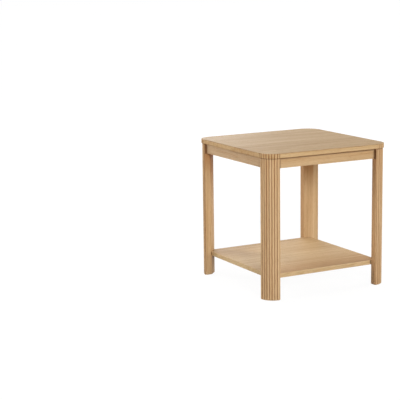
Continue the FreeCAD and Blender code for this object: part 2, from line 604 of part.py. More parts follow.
fill_sheet()
make_top()
for corner_name in CORNERS:
    make_leg(corner_name)
make_apron("apron_front", CORNER_X, CORNER_Y, 0)
make_apron("apron_right", CORNER_Y, CORNER_X, 90)
make_apron("apron_back", CORNER_X, CORNER_Y, 180)
make_apron("apron_left", CORNER_Y, CORNER_X, 270)
make_shelf()
for corner_name in CORNERS:
    make_block(corner_name)
make_bolts()
make_screws()
make_dowels()
make_cams()
check_and_write()
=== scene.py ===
"""Dress the end table: reeded oak legs and top, plain oak boards, and zinc fixings out of sight below."""

import logging
import math
from dataclasses import dataclass, field
from enum import Enum
from typing import Mapping, Sequence

import bpy
from mathutils import Matrix, Vector


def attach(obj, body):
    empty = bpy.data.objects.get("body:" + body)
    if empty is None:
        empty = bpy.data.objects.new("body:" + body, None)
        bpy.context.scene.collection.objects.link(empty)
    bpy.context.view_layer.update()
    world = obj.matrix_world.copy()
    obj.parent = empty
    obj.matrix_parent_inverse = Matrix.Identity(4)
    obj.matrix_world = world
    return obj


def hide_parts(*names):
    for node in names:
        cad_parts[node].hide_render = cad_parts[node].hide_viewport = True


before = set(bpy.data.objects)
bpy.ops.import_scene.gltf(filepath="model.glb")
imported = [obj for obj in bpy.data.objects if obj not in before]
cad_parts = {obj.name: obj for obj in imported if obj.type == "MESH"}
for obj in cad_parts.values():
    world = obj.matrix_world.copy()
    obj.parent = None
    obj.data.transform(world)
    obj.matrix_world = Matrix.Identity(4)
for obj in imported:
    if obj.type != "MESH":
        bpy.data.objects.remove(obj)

log = logging.getLogger("end_table")

BODY = "root"
QUARTER = math.pi / 2
FULL_TURN = 2 * math.pi
# faces that meet at less than this angle are shaded as one round
ROUND_ANGLE = math.radians(20)
# the mean of a noise
MEAN = 0.5
# further out than any place on the table, in metres
NOWHERE = 9.0

# places that several pieces share, in metres from the middle of the table and from the floor
TOP_HALF = 0.25
TOP_SURFACE = 0.505
TOP_UNDERSIDE = 0.489
APRON_INSIDE = 0.222
APRON_OUTSIDE = 0.237
APRON_UNDERSIDE = 0.453
SHELF_HALF = 0.222
SHELF_SURFACE = 0.087
SHELF_UNDERSIDE = 0.071
# end faces of the legs, which the aprons butt against
LEG_END = 0.196
# slanted faces of the legs, which the shelf's cut corners butt against, as X and Y added up
LEG_SLANT = 0.418
# middle of each leg's round along X and along Y, and the reach of crests and grooves from it
ROUND_MIDDLE = 0.199
LEG_CREST = 0.048
LEG_GROOVE = 0.0459
TOP_CREST = 0.051
TOP_GROOVE = 0.0485
# distance of a leg's slanted face from the middle of its round, inward along the diagonal
SLANT = -0.01414

Colour = tuple[float, float, float, float]
WHITE: Colour = (1.0, 1.0, 1.0, 1.0)


def from_screen(red: int, green: int, blue: int) -> Colour:
    """Turn a colour as a screen shows it into the linear colour that a shader takes.

    Args:
        red: Red, from 0 to 255.
        green: Green, from 0 to 255.
        blue: Blue, from 0 to 255.

    Returns:
        The linear colour, opaque.
    """
    parts = [value / 255 for value in (red, green, blue)]
    # the standard curve of a screen: straight near black, a power above that
    linear = [part / 12.92 if part <= 0.04045 else ((part + 0.055) / 1.055) ** 2.4 for part in parts]
    return (*linear, 1.0)


# node benches


class SocketKind(Enum):
    """What a socket of a node group carries."""

    NUMBER = "NodeSocketFloat"
    VECTOR = "NodeSocketVector"
    COLOUR = "NodeSocketColor"
    SHAPE = "NodeSocketGeometry"


class Field:
    """A number that the nodes of one tree work out. Arithmetic on it adds the nodes."""

    def __init__(self, tree: bpy.types.NodeTree, socket: bpy.types.NodeSocket) -> None:
        """Hold a socket and the tree that it belongs to."""
        self.tree = tree
        self.socket = socket

    def math(self, operation: str, *others: "Field | float", clamp: bool = False) -> "Field":
        """Add a Math node whose first number is this one.

        Args:
            operation: The node's operation.
            others: The numbers after this one.
            clamp: Whether the result is held from 0 to 1.

        Returns:
            The result.
        """
        node = self.tree.nodes.new("ShaderNodeMath")
        node.operation = operation
        node.use_clamp = clamp
        for socket, value in zip(node.inputs, (self, *others)):
            plug(self.tree, socket, value)
        return Field(self.tree, node.outputs[0])

    def __add__(self, other: "Field | float") -> "Field":
        """Return the sum."""
        return self.math("ADD", other)

    def __sub__(self, other: "Field | float") -> "Field":
        """Return the difference."""
        return self.math("SUBTRACT", other)

    def __rsub__(self, other: float) -> "Field":
        """Return a plain number less this one."""
        return self.math("MULTIPLY_ADD", -1.0, other)

    def __mul__(self, other: "Field | float") -> "Field":
        """Return the product."""
        return self.math("MULTIPLY", other)

    def __truediv__(self, other: "Field | float") -> "Field":
        """Return the quotient."""
        return self.math("DIVIDE", other)

    __radd__ = __add__
    __rmul__ = __mul__

    def sin(self) -> "Field":
        """Return the sine."""
        return self.math("SINE")

    def cos(self) -> "Field":
        """Return the cosine."""
        return self.math("COSINE")

    def root(self) -> "Field":
        """Return the square root."""
        return self.math("SQRT")

    def size(self) -> "Field":
        """Return the number without its sign."""
        return self.math("ABSOLUTE")

    def least(self, other: "Field | float") -> "Field":
        """Return the smaller of two numbers."""
        return self.math("MINIMUM", other)

    def most(self, other: "Field | float") -> "Field":
        """Return the larger of two numbers."""
        return self.math("MAXIMUM", other)

    def wrap(self, period: "Field | float") -> "Field":
        """Return what is left over after whole periods."""
        return self.math("FLOORED_MODULO", period)

    def below(self, other: "Field | float") -> "Field":
        """Return 1 where this number is the smaller one, and 0 elsewhere."""
        return self.math("LESS_THAN", other)

    def taper(self, start: float) -> "Field":
        """Return a share that grows from its start to 1 while this number grows from 0 to 1."""
        return self.math("MULTIPLY_ADD", 1.0 - start, start, clamp=True)

    def choose(self, if_one: "Field | float", if_none: "Field | float") -> "Field":
        """Pick one of two numbers by this one, which is 1 or 0.

        Args:
            if_one: The result where this number is 1.
            if_none: The result where this number is 0.

        Returns:
            The number picked.
        """
        node = self.tree.nodes.new("ShaderNodeMix")
        plug(self.tree, node.inputs[0], self)
        plug(self.tree, node.inputs[2], if_none)
        plug(self.tree, node.inputs[3], if_one)
        return Field(self.tree, node.outputs[0])

    def ease(self, low: "Field | float", high: "Field | float") -> "Field":
        """Rise smoothly from 0 to 1.

        Args:
            low: Where the rise starts.
            high: Where the rise ends.

        Returns:
            The eased number.
        """
        node = self.tree.nodes.new("ShaderNodeMapRange")
        node.interpolation_type = "SMOOTHSTEP"
        for socket, value in zip(node.inputs, (self, low, high, 0.0, 1.0)):
            plug(self.tree, socket, value)
        return Field(self.tree, node.outputs[0])


Plug = Field | bpy.types.NodeSocket | bpy.types.Material | float | int | str | Sequence[float]


def plug(tree: bpy.types.NodeTree, socket: bpy.types.NodeSocket, value: Plug) -> None:
    """Join a value to a socket, or set it there.

    Args:
        tree: The tree that holds the socket.
        socket: The input to fill.
        value: A field or socket to join, or a plain value to set.
    """
    if isinstance(value, Field):
        tree.links.new(value.socket, socket)
    elif isinstance(value, bpy.types.NodeSocket):
        tree.links.new(value, socket)
    else:
        socket.default_value = value


class Bench:
    """Adds nodes to one tree and joins them."""

    # upright part of a face's normal over which the face goes from upright to flat
    FLAT = (0.3, 0.7)

    def __init__(self, tree: bpy.types.NodeTree) -> None:
        """Take a tree to work on."""
        self.tree = tree

    def add(self, kind: str, inputs: Mapping[str, Plug] | None = None, **settings: object) -> bpy.types.Node:
        """Add a node.

        Args:
            kind: The node's type.
            inputs: Values for its inputs, by their names.
            settings: Values for its own properties.

        Returns:
            The node.
        """
        node = self.tree.nodes.new(kind)
        for name, value in settings.items():
            setattr(node, name, value)
        self.fill(node, inputs or {})
        return node

    def fill(self, node: bpy.types.Node, inputs: Mapping[str, Plug]) -> None:
        """Join values to inputs of a node, or set them there.

        Args:
            node: The node.
            inputs: Values for its inputs, by their names.
        """
        for name, value in inputs.items():
            plug(self.tree, self.socket(node.inputs, name), value)

    def group(self, tree: bpy.types.NodeTree, inputs: Mapping[str, Plug]) -> bpy.types.Node:
        """Place a shader node group with values for its inputs."""
        return self.add("ShaderNodeGroup", inputs, node_tree=tree)

    @staticmethod
    def socket(sockets: Sequence[bpy.types.NodeSocket], name: str) -> bpy.types.NodeSocket:
        """Return the socket of that name which is in use."""
        return next(item for item in sockets if item.name == name and item.enabled)

    def out(self, node: bpy.types.Node, name: str) -> Field:
        """Return an output of a node as a field."""
        return Field(self.tree, self.socket(node.outputs, name))

    def parts(self, vector: Plug) -> tuple[Field, Field, Field]:
        """Return the three parts of a vector."""
        node = self.add("ShaderNodeSeparateXYZ", {"Vector": vector})
        return self.out(node, "X"), self.out(node, "Y"), self.out(node, "Z")

    def vector(self, x: Plug, y: Plug, z: Plug = 0.0) -> Field:
        """Return a vector made of three numbers."""
        return self.out(self.add("ShaderNodeCombineXYZ", {"X": x, "Y": y, "Z": z}), "Vector")

    def flatness(self) -> Field:
        """Return 1 on faces that lie flat and 0 on upright ones."""
        normal = self.out(self.add("ShaderNodeNewGeometry"), "Normal")
        return self.parts(normal)[2].size().ease(*self.FLAT)

    def mapped(self, vector: Plug, turn: Sequence[float], shift: Sequence[float]) -> Field:
        """Return a vector turned about the middle of the object and then shifted."""
        inputs = {"Vector": vector, "Location": shift, "Rotation": turn}
        return self.out(self.add("ShaderNodeMapping", inputs), "Vector")

    def noise(self, vector: Plug, scale: float | Sequence[float], detail: float = 2.0,
              roughness: float = 0.5) -> Field:
        """Add a noise.

        Args:
            vector: Where it is read.
            scale: Its frequency, or its frequencies along X, Y and Z.
            detail: How many finer layers it has.
            roughness: How strong those are.

        Returns:
            The noise, from 0 to 1.
        """
        if not isinstance(scale, float):
            stretch = self.add("ShaderNodeVectorMath", operation="MULTIPLY")
            plug(self.tree, stretch.inputs[0], vector)
            plug(self.tree, stretch.inputs[1], scale)
            vector, scale = stretch.outputs[0], 1.0
        node = self.add("ShaderNodeTexNoise", {
            "Vector": vector, "Scale": scale, "Detail": detail, "Roughness": roughness})
        return Field(self.tree, node.outputs[0])

    def mixed(self, share: Plug, first: Plug, second: Plug, blend: str = "MIX") -> Field:
        """Mix two colours.

        Args:
            share: How much of the second colour there is, from 0 to 1.
            first: The colour at 0.
            second: The colour at 1.
            blend: How they are mixed.

        Returns:
            The mixed colour.
        """
        inputs = {"Factor": share, "A": first, "B": second}
        return self.out(self.add("ShaderNodeMix", inputs, data_type="RGBA", blend_type=blend), "Result")


Sockets = Mapping[SocketKind, Sequence[str]]


class GroupBench(Bench):
    """A node group under construction, with named inputs and outputs."""

    def __init__(self, name: str, kind: str, inputs: Sockets, outputs: Sockets) -> None:
        """Make the group and its sockets.

        Args:
            name: The group's name.
            kind: The type of its tree.
            inputs: The names of its inputs, by what they carry.
            outputs: The names of its outputs, by what they carry.
        """
        super().__init__(bpy.data.node_groups.new(name, kind))
        self.identifiers: dict[str, str] = {}
        new_socket = self.tree.interface.new_socket
        for carries, titles in inputs.items():
            for title in titles:
                made = new_socket(title, in_out="INPUT", socket_type=carries.value)
                self.identifiers[title] = made.identifier
        for carries, titles in outputs.items():
            for title in titles:
                new_socket(title, in_out="OUTPUT", socket_type=carries.value)
        source = self.tree.nodes.new("NodeGroupInput")
        self.given = {title: self.out(source, title) for title in self.identifiers}
        self.result = self.tree.nodes.new("NodeGroupOutput")

    def put(self, name: str, value: Plug) -> None:
        """Join a value to one of the group's outputs."""
        plug(self.tree, self.socket(self.result.inputs, name), value)


# finishes


class GrainWay(Enum):
    """The way that the grain of a board runs, as the turn that brings it along X."""

    LEFT_TO_RIGHT = (0.0, 0.0, 0.0)
    FRONT_TO_BACK = (0.0, 0.0, -QUARTER)
    UPRIGHT = (0.0, QUARTER, 0.0)


class EdgeWear(GroupBench):
    """Finds the edges of boards that lie alike about the middle of the table: worn edges, and on the top
    painted shade.
    """

    # frequency of the blotches that make the wear and painted shade along the edges uneven, the least share
    # of its width and what they add
    BLOTCHES = 60.0
    LEAST_WEAR, MORE_WEAR = 0.4, 1.2

    def __init__(self) -> None:
        """Build the group. It takes X and Y without their signs."""
        super().__init__("edge_wear", "ShaderNodeTree", {
            SocketKind.VECTOR: ["Vector", "Low Corner", "High Corner"], SocketKind.NUMBER: ["Width"],
        }, {SocketKind.NUMBER: ["Worn"]})
        x, y, z = self.parts(self.given["Vector"])
        lows, highs = self.parts(self.given["Low Corner"]), self.parts(self.given["High Corner"])
        first, second, third = [(place - low).least(high - place)
                                for place, low, high in zip((x.size(), y.size(), z), lows, highs)]
        # of the three depths under the faces, the middle one is the distance from the nearest edge
        edge = first.least(second).most(first.most(second).least(third))
        blotches = self.noise(self.given["Vector"], self.BLOTCHES, detail=3.0)
        reach = self.given["Width"] * (self.LEAST_WEAR + self.MORE_WEAR * blotches)
        self.put("Worn", 1.0 - edge.ease(0.0, reach))


class ReedShade(GroupBench):
    """Finds the grooves between reeds, for the painted shade in them, and their crests, where the finish is
    rubbed.
    """

    # where the painted shade starts: this far outside the quarter turn, and between these depths under the
    # grooves
    SIDE_FADE = 0.0004
    DEEPEST, DEEP = 0.0012, 0.0006
    # shares of the rise from groove to crest over which the painted shade fades and the rub sets in
    SHADE_RISE, RUB_RISE = (0.1, 0.95), (0.85, 1.0)
    RUB = 0.25

    def __init__(self) -> None:
        """Build the group."""
        super().__init__("reed_shade", "ShaderNodeTree", {
            SocketKind.VECTOR: ["Vector"], SocketKind.NUMBER: ["Groove", "Crest"],
        }, {SocketKind.NUMBER: ["Groove", "Crest"]})
        x, y, _ = self.parts(self.given["Vector"])
        past_x, past_y = x.size() - ROUND_MIDDLE, y.size() - ROUND_MIDDLE
        radius = (past_x * past_x + past_y * past_y).root()
        groove, crest = self.given["Groove"], self.given["Crest"]
        inside = past_x.least(past_y).ease(-self.SIDE_FADE, 0.0) * (1.0 - self.flatness())
        inside = inside * radius.ease(groove - self.DEEPEST, groove - self.DEEP)
        rise = (radius - groove) / (crest - groove)
        self.put("Groove", inside * (1.0 - rise.ease(*self.SHADE_RISE)))
        self.put("Crest", inside * rise.ease(*self.RUB_RISE) * self.RUB)


class JointShade(GroupBench):
    """Finds the joints of a piece and its faces sheltered under the top, for painted shade: dark along the
    joints, darker and warmer on the sheltered faces.
    """

    # depths under an outer face, a butted face and a slanted face over which their painted shade fades
    OUTER_FADE = 0.001
    BUTT_FADE, SLANT_FADE = (0.0003, 0.0012), (0.0005, 0.002)
    # how far below the aprons the painted shade on a butted face starts, and how strong it is
    BUTT_REACH, BUTT_SHADE = 0.003, 0.7
    # painted warm shade under the top: how far below the aprons it starts on slanted and butted faces,
    # how strong it is on the butted ones, and how strong on those that face along X all the way down
    SLANT_SHELTER, BUTT_SHELTER = 0.185, 0.095
    BUTT_WARMTH, SIDEWAYS_WARMTH = 0.6, 0.41

    def __init__(self) -> None:
        """Build the group. It reads a place with the length of a board along X."""
        lines = ["Level", "End", "Reach", "Butt Face", "Outer Face", "Cut Corner", "Slanted Face"]
        super().__init__("joint_shade", "ShaderNodeTree", {
            SocketKind.VECTOR: ["Vector"], SocketKind.NUMBER: lines,
        }, {SocketKind.NUMBER: ["Joint", "Shelter"]})
        x, y, z = self.parts(self.given["Vector"])
        x, y = x.size(), y.size()
        diagonal = x + y
        level, end, reach, butt, outer, cut, slant = [self.given[line] for line in lines]
        # painted shade: a dark band under the level above, beside the board's ends, round cut corners and on
        # butted faces beside the aprons
        above = z.ease(level - reach, level) * y.ease(outer - self.OUTER_FADE, outer)
        beside = x.ease(end - reach, end)
        corner = (1.0 - self.flatness()) * diagonal.ease(cut - reach, cut)
        start, stop = [butt + fade for fade in self.BUTT_FADE]
        butted = 1.0 - x.least(y).ease(start, stop)
        sideways = 1.0 - x.ease(start, stop)
        slanted = 1.0 - diagonal.ease(*[slant + fade for fade in self.SLANT_FADE])
        # painted warm shade on slanted and butted faces under the top, and on faces along X all the way down
        slant_warm_shade = slanted * z.ease(APRON_UNDERSIDE - self.SLANT_SHELTER, APRON_UNDERSIDE)
        butt_warm_shade = butted * z.ease(APRON_UNDERSIDE - self.BUTT_SHELTER, APRON_UNDERSIDE) * self.BUTT_WARMTH
        self.put("Shelter", slant_warm_shade.most(butt_warm_shade).most(sideways * self.SIDEWAYS_WARMTH))
        butted = butted * z.ease(APRON_UNDERSIDE - self.BUTT_REACH, APRON_UNDERSIDE)
        self.put("Joint", above.most(beside).most(butted * self.BUTT_SHADE).most(corner))


class OakGrain(GroupBench):
    """The figure of oak in the round, with its grain along X: growth rings, streaks and open pores; it also
    lays on wear and painted shade.
    """

    # frequencies of each layer, along the grain and across it
    SWAY_SCALE = (2.2, 11.0, 11.0)
    DRIFT_SCALE = (7.0, 60.0, 60.0)
    STREAK_SCALE = (2.6, 85.0, 85.0)
    BROAD_SCALE = (0.9, 7.0, 7.0)
    PORE_SCALE = (42.0, 1250.0, 1250.0)
    FLECK_SCALE = (16.0, 210.0, 210.0)
    # distance of the pith beside and below the board, and how the board leans away from it along its length
    PITH_BESIDE, PITH_BELOW = 0.13, 0.21
    LEAN_BESIDE, LEAN_BELOW = 0.035, -0.05
    # how far the rings sway and drift, in metres
    SWAY, DRIFT = 0.03, 0.0025
    # shares of a ring between which its late wood darkens, before the next ring starts
    LATE = (0.25, 0.95)
    # levels of their noises over which pores and flecks set in, and the share of pores that late wood lacks
    PORE_LEVELS, FLECK_LEVELS = (0.6, 0.7), (0.62, 0.78)
    LATE_CLOSED = 0.6
    # how much streaks, broad bands and late wood shift the tone, and the mean of the last
    STREAK_TONE, BROAD_TONE, LATE_TONE, LATE_MEAN = 1.9, 1.3, 0.55, 0.35
    # how much of its own colour each mark shows: pores and flecks are grain, grooves and joints painted
    # shade, edges wear and on the top painted shade
    PORE_COVER, FLECK_COVER, GROOVE_COVER, WORN_COVER, JOINT_COVER = 0.55, 0.35, 0.85, 0.5, 0.92
    PORE, FLECK = from_screen(146, 100, 58), from_screen(160, 104, 62)
    # colours of the painted shade in grooves and joints
    GROOVE, JOINT = from_screen(134, 83, 46), from_screen(78, 44, 20)
    # painted warm shade: what is left of each colour on a face sheltered under the top
    SHELTER = (0.75, 0.5, 0.3, 1.0)
    # roughness of the finish, and what streaks, pores, grooves and the edge marks add to it
    ROUGH, STREAK_ROUGH, PORE_ROUGH, GROOVE_ROUGH, WORN_ROUGH = 0.5, 0.1, 0.14, 0.12, 0.1
    # rise of streaks and late wood and depth of pores, in shares of the relief
    STREAK_RISE, LATE_RISE, PORE_DEPTH = 0.2, 0.12, 0.5

    def __init__(self) -> None:
        """Build the group."""
        super().__init__("oak_grain", "ShaderNodeTree", {
            SocketKind.VECTOR: ["Vector"], SocketKind.COLOUR: ["Light", "Dark", "Edge"],
            SocketKind.NUMBER: ["Ring Width", "Figure", "Worn", "Groove", "Joint", "Shelter", "Heart"],
        }, {SocketKind.COLOUR: ["Colour"], SocketKind.NUMBER: ["Roughness", "Height"]})
        place, groove, wear_and_shade = self.given["Vector"], self.given["Groove"], self.given["Worn"]
        sway = self.noise(place, self.SWAY_SCALE, detail=3.0)
        drift = self.noise(place, self.DRIFT_SCALE)
        x, y, z = self.parts(place)
        # the rings lie round a pith beside the board, which the board leaves slowly along its length
        beside = y + self.PITH_BESIDE + self.LEAN_BESIDE * x
        below = z + self.PITH_BELOW + self.LEAN_BELOW * x
        ring = (beside * beside + below * below).root() + self.SWAY * sway + self.DRIFT * drift
        share = (ring / self.given["Ring Width"]).math("FRACT")
        late = share.ease(*self.LATE) * (1.0 - share.ease(self.LATE[1], 1.0))
        streak = self.noise(place, self.STREAK_SCALE, detail=5.0, roughness=0.6)
        broad = self.noise(place, self.BROAD_SCALE)
        pores = self.noise(place, self.PORE_SCALE, detail=1.0).ease(*self.PORE_LEVELS)
        pores = pores * (1.0 - self.LATE_CLOSED * late)
        flecks = self.noise(place, self.FLECK_SCALE).ease(*self.FLECK_LEVELS)
        tone = MEAN + (streak - MEAN) * self.STREAK_TONE + (broad - MEAN) * self.BROAD_TONE
        tone = tone + (late - self.LATE_MEAN) * self.LATE_TONE * self.given["Figure"]
        # painted shade: the shade band darkens the flat faces and its upright edges are made paler
        tone = (tone + self.given["Heart"]).math("MULTIPLY", 1.0, clamp=True)
        colour = self.mixed(tone, self.given["Light"], self.given["Dark"])
        colour = self.mixed(pores * self.PORE_COVER, colour, self.PORE)
        colour = self.mixed(flecks * self.FLECK_COVER, colour, self.FLECK)
        # painted shade in grooves, on sheltered faces and along joints; wear, and on the top painted shade,
        # along edges
        colour = self.mixed(groove * self.GROOVE_COVER, colour, self.GROOVE)
        colour = self.mixed(wear_and_shade * self.WORN_COVER, colour, self.given["Edge"])
        colour = self.mixed(self.given["Shelter"], colour, self.SHELTER, "MULTIPLY")
        colour = self.mixed(self.given["Joint"] * self.JOINT_COVER, colour, self.JOINT)
        self.put("Colour", colour)
        self.put("Roughness", self.ROUGH + self.STREAK_ROUGH * streak + self.PORE_ROUGH * pores
                 + self.GROOVE_ROUGH * groove + self.WORN_ROUGH * wear_and_shade)
        self.put("Height", 0.5 + self.STREAK_RISE * (streak - MEAN) + self.LATE_RISE * late
                 - self.PORE_DEPTH * pores)


class ZincSkin(GroupBench):
    """The blotched, faintly tinted look of zinc plate."""

    # frequencies of the dull clouds, the tint and the grit
    CLOUDS, TINTS, GRIT = 260.0, 90.0, 2600.0
    # levels of their noises over which clouds and tint set in
    CLOUD_LEVELS, TINT_LEVELS = (0.3, 0.7), (0.5, 0.8)
    TINT, TINT_COVER = from_screen(206, 190, 142), 0.3
    # what clouds and grit add to the roughness, and their shares of the relief
    CLOUD_ROUGH, GRIT_ROUGH = 0.18, 0.08
    CLOUD_RISE, GRIT_RISE = 0.4, 0.6

    def __init__(self) -> None:
        """Build the group."""
        super().__init__("zinc_skin", "ShaderNodeTree", {
            SocketKind.VECTOR: ["Vector"], SocketKind.COLOUR: ["Bright", "Dull"],
            SocketKind.NUMBER: ["Roughness"],
        }, {SocketKind.COLOUR: ["Colour"], SocketKind.NUMBER: ["Roughness", "Height"]})
        place = self.given["Vector"]
        cloud = self.noise(place, self.CLOUDS, detail=4.0, roughness=0.6)
        tint = self.noise(place, self.TINTS)
        grit = self.noise(place, self.GRIT)
        colour = self.mixed(cloud.ease(*self.CLOUD_LEVELS), self.given["Bright"], self.given["Dull"])
        self.put("Colour", self.mixed(tint.ease(*self.TINT_LEVELS) * self.TINT_COVER, colour, self.TINT))
        self.put("Roughness", self.given["Roughness"] + self.CLOUD_ROUGH * (cloud - MEAN)
                 + self.GRIT_ROUGH * grit)
        self.put("Height", grit * self.GRIT_RISE + cloud * self.CLOUD_RISE)


class SharedGroups:
    """The node groups that more than one finish uses."""

    def __init__(self) -> None:
        """Build each group once."""
        self.edge_wear = EdgeWear().tree
        self.reed_shade = ReedShade().tree
        self.joint_shade = JointShade().tree
        self.oak_grain = OakGrain().tree
        self.zinc_skin = ZincSkin().tree


def new_material(name: str) -> tuple[bpy.types.Material, Bench, bpy.types.Node, Field]:
    """Start a material.

    Args:
        name: Its name.

    Returns:
        The material, a bench for its tree, its shader and the place on the object that it is read at.
    """
    material = bpy.data.materials.new(name)
    material.use_nodes = True
    bench = Bench(material.node_tree)
    bench.tree.nodes.clear()
    shader = bench.add("ShaderNodeBsdfPrincipled")
    bench.add("ShaderNodeOutputMaterial", {"Surface": shader.outputs[0]})
    place = bench.out(bench.add("ShaderNodeTexCoord"), "Object")
    return material, bench, shader, place


def as_inputs(mark: object) -> dict[str, Plug]:
    """Return the values of a mark under the names of the group inputs that take them."""
    return {name.replace("_", " ").title(): value for name, value in vars(mark).items()}


@dataclass(frozen=True)
class ReedRound:
    """The reach of a piece's reeds from the middle of their round, for the shade in their grooves."""

    groove: float
    crest: float


@dataclass(frozen=True)
class BoardBox:
    """The edges of a board, with X and Y taken without their signs, and the width of the wear and painted
    shade along them.
    """

    low_corner: tuple[float, float, float]
    high_corner: tuple[float, float, float]
    width: float = 0.003


@dataclass(frozen=True)
class JointLine:
    """Where a piece meets others: a level that it stands under, its ends along its length, and its faces."""

    reach: float
    level: float = NOWHERE
    end: float = NOWHERE
    butt_face: float = -NOWHERE
    outer_face: float = 0.0
    cut_corner: float = NOWHERE
    slanted_face: float = 0.0


@dataclass(frozen=True)
class HeartBand:
    """A band of painted shade along a flat board: its middle across the board, its reach and its depth.

    It wanders along the grain, and the board's edges are paler than its faces.
    """

    middle: float
    reach: float
    depth: float
    wander: float = 0.06
    wander_scale: tuple[float, float, float] = (2.5, 4.0, 4.0)
    edge_paleness: float = 0.35


@dataclass(frozen=True)
class WoodFinish:
    """Wood, lacquered or bare, with its grain along one way of a board."""

    name: str
    grain: GrainWay
    shift: tuple[float, float, float] = (0.0, 0.0, 0.0)
    light: Colour = from_screen(207, 178, 138)
    dark: Colour = from_screen(175, 136, 91)
    edge: Colour = from_screen(217, 189, 151)
    figure: float = 0.5
    ring_width: float = 0.0042
    relief: float = 0.00025
    relief_strength: float = 0.6
    gloss: float = 0.24
    reeds: ReedRound | None = None
    edges: BoardBox | None = None
    joint: JointLine | None = None
    heart: HeartBand | None = None

    def marks(self, bench: Bench, groups: SharedGroups, place: Field) -> dict[str, Plug]:
        """Find the marks of shape, joints and wear on the wood, and its painted shade.

        Args:
            bench: The bench of the material.
            groups: The shared node groups.
            place: The place on the object.

        Returns:
            The marks, under the names of the grain's inputs.
        """
        straight = bench.mapped(place, self.grain.value, (0.0, 0.0, 0.0))
        found: dict[str, Plug] = {}
        wear_and_shade: list[Field] = []
        if self.reeds:
            # painted shade in the grooves; the rubbed crests are wear
            shade = bench.group(groups.reed_shade, {"Vector": place, **as_inputs(self.reeds)})
            found["Groove"] = shade.outputs["Groove"]
            wear_and_shade.append(bench.out(shade, "Crest"))
        if self.joint:
            # painted shade along the joints, and warmer painted shade on faces sheltered under the top
            lying = place if self.grain is GrainWay.UPRIGHT else straight
            joint = bench.group(groups.joint_shade, {"Vector": lying, **as_inputs(self.joint)})
            found.update({name: joint.outputs[name] for name in ("Joint", "Shelter")})
        if self.edges:
            # worn edges; on the top, with its dark edge colour, painted shade instead
            edge_marks = bench.group(groups.edge_wear, {"Vector": straight, **as_inputs(self.edges)})
            wear_and_shade.append(bench.out(edge_marks, "Worn"))
        if self.heart:
            # painted shade: a darker band across the flat faces, with the upright edges made paler
            wander = self.heart.wander * bench.noise(straight, self.heart.wander_scale)
            across = (bench.parts(straight)[1] + wander - self.heart.middle).size()
            band = self.heart.depth * (1.0 - across.ease(0.0, self.heart.reach))
            flat = bench.flatness()
            found["Heart"] = band * flat - self.heart.edge_paleness * (1.0 - flat)
        if wear_and_shade:
            found["Worn"] = wear_and_shade[0].most(wear_and_shade[-1])
        return found

    def material(self, groups: SharedGroups) -> bpy.types.Material:
        """Build the material.

        Args:
            groups: The shared node groups.

        Returns:
            The material.
        """
        material, bench, shader, place = new_material(self.name)
        grain = bench.group(groups.oak_grain, {
            "Vector": bench.mapped(place, self.grain.value, self.shift), "Ring Width": self.ring_width,
            "Figure": self.figure, "Light": self.light, "Dark": self.dark, "Edge": self.edge,
            **self.marks(bench, groups, place)})
        bump = bench.add("ShaderNodeBump", {
            "Height": grain.outputs["Height"], "Distance": self.relief, "Strength": self.relief_strength})
        bench.fill(shader, {
            "Base Color": grain.outputs["Colour"], "Roughness": grain.outputs["Roughness"],
            "Normal": bump.outputs["Normal"], "Specular IOR Level": self.gloss})
        return material


@dataclass(frozen=True)
class ZincFinish:
    """Zinc on steel or in a casting."""

    name: str
    bright: Colour
    dull: Colour
    roughness: float
    relief: float

    def material(self, groups: SharedGroups) -> bpy.types.Material:
        """Build the material.

        Args:
            groups: The shared node groups.

        Returns:
            The material.
        """
        material, bench, shader, place = new_material(self.name)
        skin = bench.group(groups.zinc_skin, {
            "Vector": place, "Bright": self.bright, "Dull": self.dull, "Roughness": self.roughness})
        bump = bench.add("ShaderNodeBump", {"Height": skin.outputs["Height"], "Distance": self.relief})
        bench.fill(shader, {
            "Base Color": skin.outputs["Colour"], "Roughness": skin.outputs["Roughness"],
            "Normal": bump.outputs["Normal"], "Metallic": 1.0})
        return material


APRON_BOX = BoardBox((-NOWHERE, APRON_INSIDE, APRON_UNDERSIDE), (NOWHERE, APRON_OUTSIDE, NOWHERE))
# depth under an apron's outer face at which the painted shade of its joints is full
APRON_SKIN = 0.0002


